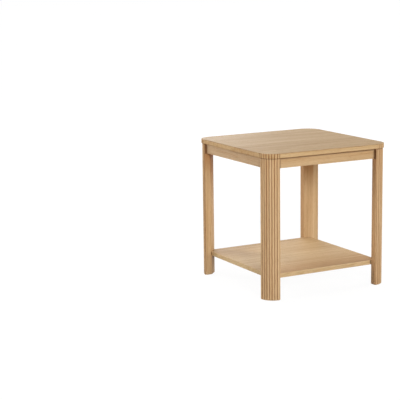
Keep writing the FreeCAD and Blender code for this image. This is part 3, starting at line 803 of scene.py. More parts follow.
class Finish(Enum):
    """Every finish of the table."""

    TOP = WoodFinish(
        "oak_top_lacquer", GrainWay.LEFT_TO_RIGHT, (0.31, 0.04, -0.52),
        # the dark edge colour is painted shade along the top's arrises, at the seam below them and on its
        # reed crests; its grooves get painted shade too
        light=from_screen(211, 182, 139), dark=from_screen(179, 140, 93), edge=from_screen(126, 80, 44),
        reeds=ReedRound(groove=TOP_GROOVE, crest=TOP_CREST),
        edges=BoardBox((-NOWHERE, -NOWHERE, TOP_UNDERSIDE), (TOP_HALF, TOP_HALF, TOP_SURFACE)))
    SHELF = WoodFinish(
        "oak_shelf_lacquer", GrainWay.LEFT_TO_RIGHT, (2.6, 1.9, -0.9),
        light=from_screen(216, 189, 146), dark=from_screen(183, 145, 98), figure=0.6,
        edges=BoardBox((-NOWHERE, -NOWHERE, SHELF_UNDERSIDE), (SHELF_HALF, SHELF_HALF, SHELF_SURFACE)),
        # painted shade round the cut corners, where the legs stand
        joint=JointLine(reach=0.007, cut_corner=LEG_SLANT),
        # a band of painted shade over the shelf's front
        heart=HeartBand(middle=-0.16, reach=0.13, depth=0.55))
    APRON_LONG = WoodFinish(
        "oak_apron_front_lacquer", GrainWay.LEFT_TO_RIGHT, (0.9, 0.3, 0.1), edges=APRON_BOX,
        # painted shadow on the outer face under the top's overhang, and painted shade at the ends beside the
        # legs
        joint=JointLine(
            reach=0.0105, level=TOP_UNDERSIDE, end=LEG_END, outer_face=APRON_OUTSIDE - APRON_SKIN))
    APRON_SIDE = WoodFinish(
        "oak_apron_side_lacquer", GrainWay.FRONT_TO_BACK, (2.3, 0.5, 0.2),
        # paler than the front and back aprons: painted sheen on the side aprons; painted shade at their ends
        # beside the legs
        light=from_screen(220, 198, 165), dark=from_screen(190, 157, 120), edges=APRON_BOX,
        joint=JointLine(reach=0.004, end=LEG_END))
    LEG = WoodFinish(
        "oak_leg_lacquer", GrainWay.UPRIGHT, (0.4, 0.7, 0.9),
        light=from_screen(223, 195, 154), dark=from_screen(190, 153, 109), gloss=0.36,
        # painted shade in the reeds' grooves, a painted shadow line under the top, darker end faces beside
        # the aprons, and painted warm shade on the inner faces under the top
        reeds=ReedRound(groove=LEG_GROOVE, crest=LEG_CREST),
        joint=JointLine(reach=0.005, level=TOP_UNDERSIDE, butt_face=LEG_END, slanted_face=LEG_SLANT))
    BLOCK = WoodFinish(
        "block_pine_raw", GrainWay.LEFT_TO_RIGHT, (0.2, 0.1, 0.3),
        light=from_screen(219, 190, 146), dark=from_screen(190, 150, 103), figure=0.9)
    DOWEL = WoodFinish(
        "dowel_beech_raw", GrainWay.LEFT_TO_RIGHT, (0.6, 0.2, 0.1),
        light=from_screen(217, 184, 146), dark=from_screen(191, 150, 111), figure=0.2)
    STEEL = ZincFinish(
        "zinc_plated_steel", bright=from_screen(205, 207, 208), dull=from_screen(150, 152, 150),
        roughness=0.34, relief=0.00003)
    CAST = ZincFinish(
        "zinc_casting", bright=from_screen(176, 178, 180), dull=from_screen(128, 130, 131),
        roughness=0.48, relief=0.00008)


Materials = Mapping[Finish, bpy.types.Material]


# shapes that follow a rule


@dataclass(frozen=True)
class Place:
    """A point, and the way that a piece there runs."""

    point: Vector
    along: Vector


class Corner(Enum):
    """A corner of the table: its side along X and Y, and the turn of a piece drawn at the back right."""

    FRONT_LEFT = ("front_left", -1, -1, 2 * QUARTER)
    FRONT_RIGHT = ("front_right", 1, -1, 3 * QUARTER)
    BACK_RIGHT = ("back_right", 1, 1, 0.0)
    BACK_LEFT = ("back_left", -1, 1, QUARTER)

    @property
    def title(self) -> str:
        """The corner's name."""
        return self.value[0]

    @property
    def turn(self) -> float:
        """The turn about the upright, from the back right corner."""
        return self.value[3]

    def place(self, inward_x: float, inward_y: float, level: float, along: Sequence[float]) -> Place:
        """Find a place by its distance inward from the middle of the leg's round.

        Args:
            inward_x: Distance towards the middle of the table along X.
            inward_y: Distance towards the middle of the table along Y.
            level: Height above the floor.
            along: Way of the piece, with X and Y inward.

        Returns:
            The place on the table.
        """
        _, side_x, side_y, _ = self.value
        point = Vector((side_x * (ROUND_MIDDLE - inward_x), side_y * (ROUND_MIDDLE - inward_y), level))
        return Place(point, Vector((-side_x * along[0], -side_y * along[1], along[2])))


class RuleTree(GroupBench):
    """A Geometry Nodes tree with named sizes, whose shape becomes a plain mesh."""

    def __init__(self, name: str, sizes: Mapping[str, float]) -> None:
        """Start a tree.

        Args:
            name: The tree's name.
            sizes: Its named inputs and their values.
        """
        super().__init__(name, "GeometryNodeTree", {
            SocketKind.SHAPE: ["Geometry"], SocketKind.NUMBER: list(sizes),
        }, {SocketKind.SHAPE: ["Geometry"]})
        self.tree.is_modifier = True
        self.sizes = dict(sizes)

    def drum(self, around: int, rings: int) -> tuple[bpy.types.NodeSocket, Field, Field]:
        """Add a closed drum whose points a rule will move.

        Args:
            around: How many points lie on each ring.
            rings: How many bands of faces it has from end to end.

        Returns:
            The drum, the number of each point on its ring, and the number of each point's ring from below.
        """
        drum = self.add("GeometryNodeMeshCylinder", {
            "Vertices": around, "Side Segments": rings, "Radius": 1.0, "Depth": 1.0}, fill_type="NGON")
        x, y, z = self.parts(self.add("GeometryNodeInputPosition").outputs[0])
        step = (y.math("ARCTAN2", x) * (around / FULL_TURN)).math("ROUND").wrap(float(around))
        ring = ((z + 0.5) * float(rings)).math("ROUND")
        return drum.outputs["Mesh"], step, ring

    def moved(self, shape: Plug, x: Field, y: Field, z: Field) -> bpy.types.NodeSocket:
        """Return the shape with its points at the places given."""
        inputs = {"Geometry": shape, "Position": self.vector(x, y, z)}
        return self.add("GeometryNodeSetPosition", inputs).outputs[0]

    def turned(self, shape: Plug, angle: Field, radius: Field, height: Field) -> bpy.types.NodeSocket:
        """Return the shape with its points laid round an upright axis."""
        return self.moved(shape, radius * angle.cos(), radius * angle.sin(), height)

    def without(self, body: Plug, tools: Sequence[Plug]) -> bpy.types.NodeSocket:
        """Cut shapes out of another.

        Args:
            body: The shape to cut.
            tools: The shapes that are cut out of it.

        Returns:
            What is left.
        """
        node = self.add("GeometryNodeMeshBoolean", {"Mesh 1": body}, operation="DIFFERENCE", solver="EXACT")
        for tool in tools:
            plug(self.tree, node.inputs["Mesh 2"], tool)
        return node.outputs["Mesh"]

    def bar(self, size: tuple[Plug, Plug, Plug], level: Plug) -> bpy.types.NodeSocket:
        """Add a bar across the axis.

        Args:
            size: Its size along X, Y and Z.
            level: Height of its middle on the axis.

        Returns:
            The bar.
        """
        cube = self.add("GeometryNodeMeshCube", {"Size": self.vector(*size)})
        inputs = {"Geometry": cube.outputs["Mesh"], "Translation": self.vector(0.0, 0.0, level)}
        return self.add("GeometryNodeTransform", inputs).outputs[0]

    def joined(self, shapes: Sequence[Plug]) -> bpy.types.NodeSocket:
        """Join shapes into one.

        Args:
            shapes: The shapes.

        Returns:
            All of them as one shape.
        """
        node = self.add("GeometryNodeJoinGeometry")
        for shape in shapes:
            plug(self.tree, node.inputs[0], shape)
        return node.outputs[0]

    def at_places(self, shape: Plug) -> bpy.types.NodeSocket:
        """Repeat a shape at every point of the object that carries the tree, turned along the point.

        Args:
            shape: The shape, drawn upright.

        Returns:
            The repeated shape.
        """
        along = self.add("GeometryNodeInputNamedAttribute", {"Name": "along"}, data_type="FLOAT_VECTOR")
        turn = self.add("FunctionNodeAlignRotationToVector", {
            "Vector": self.out(along, "Attribute")}, axis="Z")
        return self.add("GeometryNodeInstanceOnPoints", {
            "Points": self.given["Geometry"], "Instance": shape, "Rotation": turn.outputs[0]}).outputs[0]

    def mesh(self, shape: Plug, material: bpy.types.Material, places: Sequence[Place] = ()) -> bpy.types.Mesh:
        """Finish the tree and turn what it makes into a plain mesh.

        Args:
            shape: The shape that the tree ends with.
            material: What it is made of.
            places: Where the shape is repeated, if it is.

        Returns:
            The mesh.
        """
        real = self.add("GeometryNodeRealizeInstances", {"Geometry": shape})
        dressed = self.add("GeometryNodeSetMaterial", {"Geometry": real.outputs[0], "Material": material})
        self.put("Geometry", dressed.outputs[0])
        points = bpy.data.meshes.new(f"{self.tree.name}_places")
        points.from_pydata([place.point for place in places], [], [])
        ways = points.attributes.new("along", "FLOAT_VECTOR", "POINT")
        for item, place in zip(ways.data, places):
            item.vector = place.along
        carrier = bpy.data.objects.new(f"{self.tree.name}_carrier", points)
        bpy.context.scene.collection.objects.link(carrier)
        modifier = carrier.modifiers.new("rule", "NODES")
        modifier.node_group = self.tree
        for title, value in self.sizes.items():
            modifier[self.identifiers[title]] = float(value)
        depsgraph = bpy.context.evaluated_depsgraph_get()
        made = bpy.data.meshes.new_from_object(carrier.evaluated_get(depsgraph))
        bpy.data.objects.remove(carrier)
        made.shade_smooth()
        made.set_sharp_from_angle(angle=ROUND_ANGLE)
        return made


def set_piece(name: str, mesh: bpy.types.Mesh, nodes: Sequence[str]) -> None:
    """Put a finished piece into the scene in place of CAD nodes.

    Args:
        name: The piece's name.
        mesh: Its mesh, already in place.
        nodes: The nodes that it stands for.
    """
    mesh.name = name
    piece = bpy.data.objects.new(name, mesh)
    bpy.context.scene.collection.objects.link(piece)
    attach(piece, BODY)
    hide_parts(*nodes)
    log.info("%s: %d faces, stands for %s", name, len(mesh.polygons), ", ".join(nodes))


def dress_node(node: str, material: bpy.types.Material) -> None:
    """Give a CAD node its finish.

    Args:
        node: The node's name.
        material: What it is made of.
    """
    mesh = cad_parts[node].data
    mesh.materials.clear()
    mesh.materials.append(material)
    log.info("%s: %s", node, material.name)


@dataclass(frozen=True)
class ReedRow:
    """A quarter turn of reeds about an upright axis."""

    count: int = 8
    radius: float = 0.0055
    steps: int = 10

    @property
    def points(self) -> int:
        """How many points the row has."""
        return self.count * self.steps + 1

    def place(self, step: Field, reach: Field, radius: Field) -> tuple[Field, Field]:
        """Find a point on the row, which turns from X to Y.

        Args:
            step: The point's number.
            reach: Distance of the reeds' middles from the axis.
            radius: Round of one reed.

        Returns:
            The point's distances from the axis.
        """
        half = QUARTER / 2 / self.count
        reed = (step / float(self.steps)).math("FLOOR").least(float(self.count - 1))
        share = step / float(self.steps) - reed
        arc = (QUARTER + half) - (reach * math.sin(half) / radius).math("ARCCOSINE")
        middle = half * (2.0 * reed + 1.0)
        facing = middle + (2.0 * share - 1.0) * arc
        return reach * middle.cos() + radius * facing.cos(), reach * middle.sin() + radius * facing.sin()


@dataclass
class ReededLegs:
    """Four legs, each a quarter round of reeds, two plain strips, two end faces and a slanted face inside."""

    materials: Materials
    reeds: ReedRow = field(default_factory=ReedRow)
    crest: float = LEG_CREST
    strip_face: float = 0.0455
    strip_width: float = 0.003
    land: float = 0.023
    edge_ease: float = 0.001
    foot_ease: float = 0.0008
    height: float = TOP_UNDERSIDE
    # how far past the reeds a strip starts, as a share of its width
    strip_start: float = 0.1
    # shares of the ease that a corner between end face and slanted face loses: on the end face, and
    # along X and Y on the slanted face
    end_cut: float = 0.414
    slant_cut: float = 0.293

    def section_points(self, tree: RuleTree) -> list[tuple[Field, Field]]:
        """List the corners of the section after its reeds, on round to where they start.

        Args:
            tree: The tree with the leg's sizes.

        Returns:
            The corners, as distances from the middle of the round.
        """
        face, width, land, ease = [
            tree.given[name] for name in ("Strip Face", "Strip Width", "Land", "Edge Ease")]
        start, back = -self.strip_start * width, -1.0 * width
        end, slant = land + self.end_cut * ease, self.slant_cut * ease
        return [(start, face), (back, face), (back, end), (back + slant, land - slant),
                (land - slant, back + slant), (end, back), (face, back), (face, start)]

    def leg_mesh(self) -> bpy.types.Mesh:
        """Build one leg about the middle of its round, with its reeds towards +X and +Y.

        Returns:
            The leg's mesh.
        """
        tree = RuleTree("reeded_leg", {
            "Crest": self.crest, "Reed Radius": self.reeds.radius, "Strip Face": self.strip_face,
            "Strip Width": self.strip_width, "Land": self.land, "Edge Ease": self.edge_ease,
            "Foot Ease": self.foot_ease, "Height": self.height})
        corners = self.section_points(tree)
        drum, step, ring = tree.drum(self.reeds.points + len(corners), 2)
        foot = tree.given["Foot Ease"]
        inset = foot * ring.below(0.5)
        reach = tree.given["Crest"] - tree.given["Reed Radius"]
        reed_x, reed_y = self.reeds.place(step, reach, tree.given["Reed Radius"] - inset)
        # the switch has two items from the start, and the quarter keeps each number clear of rounding
        picker = tree.add("GeometryNodeIndexSwitch", data_type="VECTOR")
        for _ in corners[2:]:
            picker.index_switch_items.new()
        plug(tree.tree, picker.inputs[0], (step - (self.reeds.points - 0.25)).most(0.0))
        for socket, (x, y) in zip(picker.inputs[1:], corners):
            plug(tree.tree, socket, tree.vector(x, y))
        plain_x, plain_y, _ = tree.parts(picker.outputs[0])
        # the plain part of the foot draws in towards its own middle
        heart = self.land / 2
        shrink = 1.0 - inset * (1 / heart)
        on_reeds = step.below(self.reeds.points - 0.5)
        x = on_reeds.choose(reed_x, heart + (plain_x - heart) * shrink)
        y = on_reeds.choose(reed_y, heart + (plain_y - heart) * shrink)
        z = ring.least(1.0) * foot + (ring - 1.0).most(0.0) * (tree.given["Height"] - foot)
        return tree.mesh(tree.moved(drum, x, y, z), self.materials[Finish.LEG])

    def build(self) -> None:
        """Stand a leg at each corner."""
        pattern = self.leg_mesh()
        for corner in Corner:
            mesh = pattern.copy()
            place = corner.place(0.0, 0.0, 0.0, (0.0, 0.0, 1.0))
            mesh.transform(Matrix.Translation(place.point) @ Matrix.Rotation(corner.turn, 4, "Z"))
            set_piece(f"reeded_leg_{corner.title}", mesh, [f"leg_{corner.title}"])
        bpy.data.meshes.remove(pattern)


@dataclass
class Tabletop:
    """The top: plain along its sides, reeded round its corners, its upper edge eased."""

    materials: Materials
    reeds: ReedRow = field(default_factory=ReedRow)
    # a hair short of the solid, so that rounding doesn't take it past the solid's box
    half: float = TOP_HALF - 0.00001
    crest: float = TOP_CREST
    underside: float = TOP_UNDERSIDE
    surface: float = TOP_SURFACE
    edge_ease: float = 0.001
    ease_bands: int = 4

    def build(self) -> None:
        """Build the top and set it in place."""
        tree = RuleTree("reeded_top", {
            "Half": self.half, "Crest": self.crest, "Reed Radius": self.reeds.radius,
            "Underside": self.underside, "Surface": self.surface, "Edge Ease": self.edge_ease})
        # each quarter has the points of its reeds, and one more on the side before them and after them
        run = self.reeds.points + 2
        drum, step, ring = tree.drum(4 * run, 1 + self.ease_bands)
        corner = (step / float(run)).math("FLOOR")
        local = step - corner * float(run)
        bend = (ring - 1.0).most(0.0) * (QUARTER / self.ease_bands)
        ease = tree.given["Edge Ease"]
        inset = ease * (1.0 - bend.cos())
        reach = tree.given["Crest"] - tree.given["Reed Radius"]
        reed_step = (local - 1.0).most(0.0).least(float(self.reeds.points - 1))
        reed_x, reed_y = self.reeds.place(reed_step, reach, tree.given["Reed Radius"] - inset)
        middle = tree.given["Half"] - tree.given["Crest"]
        edge = tree.given["Half"] - inset
        starts = local.below(0.5)
        ends = 1.0 - local.below(run - 1.5)
        x = starts.choose(edge, ends.choose(middle, middle + reed_x))
        y = starts.choose(middle, ends.choose(edge, middle + reed_y))
        turn = corner * QUARTER
        turned_x = x * turn.cos() - y * turn.sin()
        turned_y = x * turn.sin() + y * turn.cos()
        low = ring.below(0.5)
        z = low.choose(tree.given["Underside"], tree.given["Surface"] - ease + ease * bend.sin())
        mesh = tree.mesh(tree.moved(drum, turned_x, turned_y, z), self.materials[Finish.TOP])
        set_piece("reeded_tabletop", mesh, ["tabletop"])


@dataclass
class Boards:
    """The aprons, the shelf and the corner blocks, whose solids have the right shape already."""

    materials: Materials

    def dress(self) -> None:
        """Give each board its finish."""
        for side in ("front", "back"):
            dress_node(f"apron_{side}", self.materials[Finish.APRON_LONG])
        for side in ("left", "right"):
            dress_node(f"apron_{side}", self.materials[Finish.APRON_SIDE])
        dress_node("shelf", self.materials[Finish.SHELF])
        for corner in Corner:
            dress_node(f"corner_block_{corner.title}", self.materials[Finish.BLOCK])


@dataclass(frozen=True)
class BoltSizes:
    """A hanger bolt: a coarse thread that bites the leg, a plain collar, and a fine thread under the nut."""

    radius: float = 0.003
    length: float = 0.055
    bite: float = 0.024
    collar: float = 0.006
    coarse_pitch: float = 0.0024
    coarse_depth: float = 0.0007
    fine_pitch: float = 0.001
    fine_depth: float = 0.0003
    point: float = 0.005
    tail: float = 0.0006


@dataclass(frozen=True)
class RingSizes:
    """A washer, or a nut, whose outer size is measured from its middle to a flat."""

    outer: float
    height: float
    ease: float
    bore: float = 0.0031


@dataclass(frozen=True)
class ScrewSizes:
    """A cross-head screw, whose length is measured under its head."""

    length: float
    radius: float = 0.002
    pitch: float = 0.0018
    thread_depth: float = 0.0006
    neck: float = 0.0003
    point: float = 0.004
    head_radius: float = 0.00375
    head_height: float = 0.0025
    cross_span: float = 0.0042
    cross_width: float = 0.0011
    cross_depth: float = 0.0016


@dataclass(frozen=True)
class CamSizes:
    """A cam lock with an eased rim and a cross in its end."""

    radius: float = 0.0075
    height: float = 0.0125
    rim: float = 0.0006
    cross_span: float = 0.0086
    cross_width: float = 0.0019
    cross_depth: float = 0.0035


@dataclass
class Fixings:
    """Hanger bolts with nuts and washers, cross-head screws, cam locks, and the dowels inside the joints.

    Places are counted inward from the middle of a leg's round, for bolts and cam locks along its diagonal.
    """

    materials: Materials
    bolt: BoltSizes = BoltSizes()
    washer: RingSizes = RingSizes(outer=0.007, height=0.0016, ease=0.0003)
    nut: RingSizes = RingSizes(outer=0.005, height=0.005, ease=0.0006)
    block_screw: ScrewSizes = ScrewSizes(length=0.022)
    top_screw: ScrewSizes = ScrewSizes(length=0.033)
    cam: CamSizes = CamSizes()
    bolt_level: float = 0.474
    block_far: float = 0.006858
    block_screw_level: float = 0.471
    block_screw_out: float = -0.011
    block_screw_in: float = 0.016
    top_screw_level: float = 0.467
    top_screw_out: float = -0.008586
    top_screw_in: float = 0.005556
    cam_middle: float = SLANT + 0.024
    # shares of a bolt's radius at its point and at its tail, and of a screw's at its point
    bolt_point_share: float = 0.3
    bolt_tail_share: float = 0.85
    screw_point_share: float = 0.1
    # shares of a screw's length that is plain, and of its head's radius at the end
    plain_share: float = 0.25
    head_end_share: float = 0.72
    # height of one band of a screw's faces
    screw_band: float = 0.000225
    # points nearer to each other than this are one point
    weld: float = 0.00001

    @staticmethod
    def on_diagonals(distance: float, level: float, along: Sequence[float] = (1, 1, 0)) -> list[Place]:
        """List a place on the diagonal at each corner.

        Args:
            distance: Distance inward from the middle of the leg's round.
            level: Height above the floor.
            along: Way of the piece, with X and Y inward.

        Returns:
            The four places.
        """
        inward = distance / math.sqrt(2)
        return [corner.place(inward, inward, level, along) for corner in Corner]

    def set_fixings(self, name: str, tree: RuleTree, shape: Plug, places: Sequence[Place], node: str,
                    finish: Finish = Finish.STEEL) -> None:
        """Repeat a fixing at its places and set the whole lot into the scene.

        Args:
            name: The piece's name.
            tree: The tree at work.
            shape: The fixing, drawn upright.
            places: Where the fixings sit, and the way they run.
            node: The node that they stand for.
            finish: What they are made of.
        """
        mesh = tree.mesh(tree.at_places(shape), self.materials[finish], places)
        set_piece(name, mesh, [node])

    @staticmethod
    def ridge(height: Field, step: Field, around: int, pitch: Field) -> Field:
        """Rise and fall once for each turn of a thread.

        Args:
            height: Height of each point.
            step: Number of each point on its ring.
            around: How many points lie on a ring.
            pitch: Height of one turn.

        Returns:
            1 in the root of the thread and 0 on its crest.
        """
        phase = (height / pitch - step / float(around)).math("FRACT")
        return (2.0 * phase - 1.0).size()

    def hanger_bolts(self) -> None:
        """Build the hanger bolts."""
        tree = RuleTree("hanger_bolt", as_inputs(self.bolt))
        length, bite = tree.given["Length"], tree.given["Bite"]
        around, rings = 16, 330
        drum, step, ring = tree.drum(around, rings)
        height = ring * (length / float(rings))
        coarse = self.ridge(height, step, around, tree.given["Coarse Pitch"]) * tree.given["Coarse Depth"]
        fine = self.ridge(height, step, around, tree.given["Fine Pitch"]) * tree.given["Fine Depth"]
        in_leg = height.below(bite)
        past_collar = 1.0 - height.below(bite + tree.given["Collar"])
        point = (height / tree.given["Point"]).taper(self.bolt_point_share)
        tail = ((length - height) / tree.given["Tail"]).taper(self.bolt_tail_share)
        radius = (tree.given["Radius"] - coarse * in_leg - fine * past_collar) * point * tail
        bolt = tree.turned(drum, step * (FULL_TURN / around), radius, height)
        places = self.on_diagonals(SLANT - self.bolt.bite, self.bolt_level)
        self.set_fixings("threaded_hanger_bolts", tree, bolt, places, "hanger_bolts")

    def flat_ring(self, name: str, sizes: RingSizes, hexagon: bool) -> tuple[RuleTree, bpy.types.NodeSocket]:
        """Build a washer, or a nut with its corners taken off.

        Args:
            name: The tree's name.
            sizes: Its sizes.
            hexagon: Whether its outside is a hexagon.

        Returns:
            The tree and the shape in it.
        """
        tree = RuleTree(name, as_inputs(sizes))
        around, rows = 48, 6
        grid = tree.add("GeometryNodeMeshGrid", {
            "Vertices X": around + 1, "Vertices Y": rows + 1, "Size X": 1.0, "Size Y": 1.0})
        u, v, _ = tree.parts(tree.add("GeometryNodeInputPosition").outputs[0])
        angle = (u + 0.5) * FULL_TURN
        row = ((v + 0.5) * float(rows)).math("ROUND").wrap(float(rows))
        side, rim, ease = tree.given["Outer"], tree.given["Outer"], tree.given["Ease"]
        if hexagon:
            sixth = FULL_TURN / 6
            side = side / ((angle + sixth / 2).wrap(sixth) - sixth / 2).cos()
        else:
            rim = rim - ease
        # rows of the section: bore below, rim below, side below, side above, rim above, bore above
        on_bore = row.below(0.5) + (1.0 - row.below(4.5))
        on_rim = (row - 1.0).size().below(0.5) + (row - 4.0).size().below(0.5)
        on_side = (row - 2.5).size().below(1.0)
        radius = on_bore.choose(tree.given["Bore"], on_rim.choose(rim, side))
        upper = 1.0 - row.below(2.5)
        level = upper.choose(tree.given["Height"] - on_side * ease, on_side * ease)
        placed = tree.turned(grid.outputs["Mesh"], angle, radius, level)
        closed = tree.add("GeometryNodeMergeByDistance", {"Geometry": placed, "Distance": self.weld})
        return tree, closed.outputs[0]

    def nuts_and_washers(self) -> None:
        """Build the washers on the corner blocks and the nuts on them."""
        tree, washer = self.flat_ring("hanger_washer", self.washer, False)
        places = self.on_diagonals(self.block_far, self.bolt_level)
        self.set_fixings("round_hanger_washers", tree, washer, places, "hanger_washers")
        tree, nut = self.flat_ring("hanger_nut", self.nut, True)
        places = self.on_diagonals(self.block_far + self.washer.height, self.bolt_level)
        self.set_fixings("hexagon_hanger_nuts", tree, nut, places, "hanger_nuts")

    @staticmethod
    def cross_cut(tree: RuleTree, body: Plug, level: Plug) -> bpy.types.NodeSocket:
        """Cut a cross into the end of a piece for a screwdriver.

        Args:
            tree: The tree at work, with the sizes of the cross.
            body: The piece.
            level: Height of the end.

        Returns:
            The piece with the cross in it.
        """
        span, width, depth = [tree.given[name] for name in ("Cross Span", "Cross Width", "Cross Depth")]
        high = depth * 2.0
        sizes = ((span, width, high), (width, span, high))
        return tree.without(body, [tree.bar(size, level) for size in sizes])

    def screws(self, name: str, sizes: ScrewSizes, places: Sequence[Place], node: str) -> None:
        """Build a set of cross-head screws.

        Args:
            name: The piece's name.
            sizes: Sizes of one screw.
            places: Where they sit, and the way they run.
            node: The node that they stand for.
        """
        tree = RuleTree(name, as_inputs(sizes))
        length, neck, head_height = [tree.given[size] for size in ("Length", "Neck", "Head Height")]
        around, rings = 14, round(sizes.length / self.screw_band)
        drum, step, ring = tree.drum(around, rings)
        height = ring * (length / float(rings))
        thread = self.ridge(height, step, around, tree.given["Pitch"]) * tree.given["Thread Depth"]
        threaded = 1.0 - height.below(length * self.plain_share)
        point = ((length - height) / tree.given["Point"]).taper(self.screw_point_share)
        # the plain part under the head is thinner than the crest of the thread
        radius = (tree.given["Radius"] - neck - thread * threaded + neck * threaded) * point
        shank = tree.turned(drum, step * (FULL_TURN / around), radius, height)
        head_around, head_rings = 28, 5
        cap, cap_step, cap_ring = tree.drum(head_around, head_rings)
        share = cap_ring / float(head_rings)
        dome = self.head_end_share + (1.0 - self.head_end_share) * (share * QUARTER).sin()
        head = tree.turned(cap, cap_step * (FULL_TURN / head_around), tree.given["Head Radius"] * dome,
                           (share - 1.0) * head_height)
        head = self.cross_cut(tree, head, -1.0 * head_height)
        self.set_fixings(name, tree, tree.joined([shank, head]), places, node)

    def cam_locks(self) -> None:
        """Build the cam locks in the underside of the shelf."""
        tree = RuleTree("cam_lock", as_inputs(self.cam))
        rim = tree.given["Rim"]
        around, rings = 40, 2
        drum, step, ring = tree.drum(around, rings)
        lifted = ring.least(1.0)
        height = lifted * rim + (ring - 1.0).most(0.0) * (tree.given["Height"] - rim)
        radius = tree.given["Radius"] - (1.0 - lifted) * rim
        disc = tree.turned(drum, step * (FULL_TURN / around), radius, height)
        disc = self.cross_cut(tree, disc, 0.0)
        places = self.on_diagonals(self.cam_middle, SHELF_UNDERSIDE, (0, 0, 1))
        self.set_fixings(
            "cross_slot_cam_locks", tree, disc, places, "shelf_cam_locks", Finish.CAST)

    def build(self) -> None:
        """Build the fixings that show from below, and dress those inside the joints."""
        self.hanger_bolts()
        self.nuts_and_washers()
        out, within, level = self.block_screw_out, self.block_screw_in, self.block_screw_level
        into_aprons = [place for corner in Corner
                       for place in (corner.place(out, within, level, (-1, 0, 0)),
                                     corner.place(within, out, level, (0, -1, 0)))]
        self.screws("cross_head_block_screws", self.block_screw, into_aprons, "block_screws")
        out, within, level = self.top_screw_out, self.top_screw_in, self.top_screw_level
        into_top = [place for corner in Corner
                    for place in (corner.place(out, within, level, (0, 0, 1)),
                                  corner.place(within, out, level, (0, 0, 1)))]
        self.screws("cross_head_top_screws", self.top_screw, into_top, "top_screws")
        self.cam_locks()
        for node in ("apron_dowels", "shelf_dowels"):
            dress_node(node, self.materials[Finish.DOWEL])
        dress_node("shelf_cam_bolts", self.materials[Finish.STEEL])


# studio


@dataclass
class SoftBox:
    """A broad round lamp that faces the table from one side. Bearing and lift are in degrees."""

    name: str
    bearing: float
    lift: float
    size: float
    level: float
    in_gloss: bool = False
    distance: float = 4.0
    aim: tuple[float, float, float] = (0.0, 0.0, 0.25)

    def build(self) -> None:
        """Hang the lamp, as strong as its share of the level at which a colour shows as it is written."""
        bearing, lift = math.radians(self.bearing), math.radians(self.lift)
        run = math.cos(lift)
        away = Vector((math.cos(bearing) * run, math.sin(bearing) * run, math.sin(lift)))
        lamp = bpy.data.lights.new(self.name, "AREA")
        lamp.shape = "DISK"
        lamp.size = self.size
        lamp.energy = self.level * (math.pi * self.distance) ** 2
        holder = bpy.data.objects.new(self.name, lamp)
        holder.location = Vector(self.aim) + away * self.distance
        holder.rotation_euler = away.to_track_quat("Z", "Y").to_euler()
        holder.visible_glossy = self.in_gloss
        bpy.context.scene.collection.objects.link(holder)


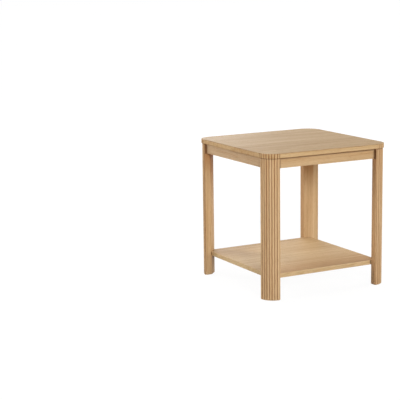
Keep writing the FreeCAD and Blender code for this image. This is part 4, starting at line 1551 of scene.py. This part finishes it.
@dataclass
class Studio:
    """A pale floor that runs out to white, an even white surround and soft lamps."""

    floor_radius: float = 30.0
    floor_points: int = 64
    floor_level: float = -0.0003
    floor_colour: tuple[float, float, float] = (0.46, 0.385, 0.31)
    floor_shadow: float = 0.08
    floor_glow: float = 0.95
    # distances from the table between which the floor runs out to plain white
    white_from: float = 1.0
    white_at: float = 3.5
    surround: float = 0.05
    lamps: tuple[SoftBox, ...] = (
        SoftBox("lamp_front_left", 255.0, 18.0, 1.2, 0.62),
        SoftBox("lamp_front_right", 300.0, 15.0, 1.2, 0.17),
        SoftBox("lamp_left", 180.0, 19.0, 1.2, 0.22),
        SoftBox("lamp_back_left", 124.0, 18.0, 1.6, 0.50),
        SoftBox("lamp_back", 83.0, 20.0, 3.0, 0.48, in_gloss=True),
        SoftBox("lamp_right", 2.0, 18.0, 1.6, 0.51),
    )

    @staticmethod
    def seen_directly(bench: Bench) -> Field:
        """Find the rays that show the surround as it is: to the camera, in a gloss or through glass.

        Args:
            bench: The bench of the floor or of the surround.

        Returns:
            1 for those rays, 0 for others.
        """
        path = bench.add("ShaderNodeLightPath")
        seen = bench.out(path, "Is Camera Ray").most(bench.out(path, "Is Glossy Ray"))
        return seen.most(bench.out(path, "Is Transmission Ray"))

    def floor_material(self) -> bpy.types.Material:
        """Make the floor's finish, white to the camera apart from the table's shadow, and clear from below.

        Returns:
            The material.
        """
        material = bpy.data.materials.new("floor_white")
        material.use_nodes = True
        bench = Bench(material.node_tree)
        bench.tree.nodes.clear()
        seen = self.seen_directly(bench)
        x, y, _ = bench.parts(bench.out(bench.add("ShaderNodeTexCoord"), "Object"))
        away = (x * x + y * y).root().ease(self.white_from, self.white_at)
        shadow = (self.floor_shadow,) * 3 + (1.0,)
        matt = bench.add("ShaderNodeBsdfDiffuse", {
            "Color": bench.mixed(seen, (*self.floor_colour, 1.0), shadow)})
        glow = bench.add("ShaderNodeEmission", {"Strength": seen * away.choose(1.0, self.floor_glow)})
        both = bench.add("ShaderNodeAddShader")
        clear = bench.add("ShaderNodeBsdfTransparent")
        sides = bench.add("ShaderNodeMixShader", {
            "Fac": bench.out(bench.add("ShaderNodeNewGeometry"), "Backfacing")})
        for source, socket in ((matt, both.inputs[0]), (glow, both.inputs[1]),
                               (both, sides.inputs[1]), (clear, sides.inputs[2])):
            plug(bench.tree, socket, source.outputs[0])
        bench.add("ShaderNodeOutputMaterial", {"Surface": sides.outputs[0]})
        return material

    def build_floor(self) -> None:
        """Lay the floor."""
        mesh = bpy.data.meshes.new("floor")
        angles = [FULL_TURN * step / self.floor_points for step in range(self.floor_points)]
        ring = [(self.floor_radius * math.cos(angle), self.floor_radius * math.sin(angle), self.floor_level)
                for angle in angles]
        mesh.from_pydata(ring, [], [tuple(range(self.floor_points))])
        mesh.materials.append(self.floor_material())
        floor = bpy.data.objects.new("floor", mesh)
        bpy.context.scene.collection.objects.link(floor)

    def build_surround(self) -> None:
        """Light the table evenly from all round."""
        world = bpy.data.worlds.new("white_surround")
        world.use_nodes = True
        bench = Bench(world.node_tree)
        bench.tree.nodes.clear()
        strength = self.seen_directly(bench).choose(1.0, self.surround)
        light = bench.add("ShaderNodeBackground", {"Color": WHITE, "Strength": strength})
        bench.add("ShaderNodeOutputWorld", {"Surface": light.outputs[0]})
        bpy.context.scene.world = world

    def build(self) -> None:
        """Build the floor, the surround and the lamps."""
        bpy.context.scene.view_settings.view_transform = "Standard"
        self.build_floor()
        self.build_surround()
        for lamp in self.lamps:
            lamp.build()
        log.info("studio: floor, surround and %d lamps", len(self.lamps))


@dataclass
class PhotoCamera:
    """The camera, where the photograph was taken from. Turns are in radians, lens and sensor in mm."""

    place: tuple[float, float, float] = (-2.4084, -3.8453, 1.1444)
    pan: float = 0.4872
    tilt: float = -0.186
    roll: float = -0.0142
    lens: float = 115.02
    sensor: float = 36.0
    clip_end: float = 100.0

    def build(self) -> None:
        """Set up the camera and make it the scene's own."""
        data = bpy.data.cameras.new("photo_camera")
        data.lens = self.lens
        data.sensor_width = self.sensor
        data.clip_end = self.clip_end
        ahead = Vector((math.sin(self.pan) * math.cos(self.tilt), math.cos(self.pan) * math.cos(self.tilt),
                        math.sin(self.tilt)))
        level = Vector((math.cos(self.pan), -math.sin(self.pan), 0.0))
        upward = level.cross(ahead)
        right = level * math.cos(self.roll) + upward * math.sin(self.roll)
        turn = Matrix((right, right.cross(ahead), -ahead)).transposed()
        camera = bpy.data.objects.new("photo_camera", data)
        camera.matrix_world = Matrix.Translation(self.place) @ turn.to_4x4()
        bpy.context.scene.collection.objects.link(camera)
        bpy.context.scene.camera = camera


def main() -> None:
    """Build the studio and the table, piece by piece."""
    logging.basicConfig(level=logging.INFO, format="%(name)s: %(message)s")
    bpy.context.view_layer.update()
    PhotoCamera().build()
    Studio().build()
    groups = SharedGroups()
    materials = {finish: finish.value.material(groups) for finish in Finish}
    Tabletop(materials).build()
    ReededLegs(materials).build()
    Boards(materials).dress()
    Fixings(materials).build()


if __name__ == "__main__":
    main()
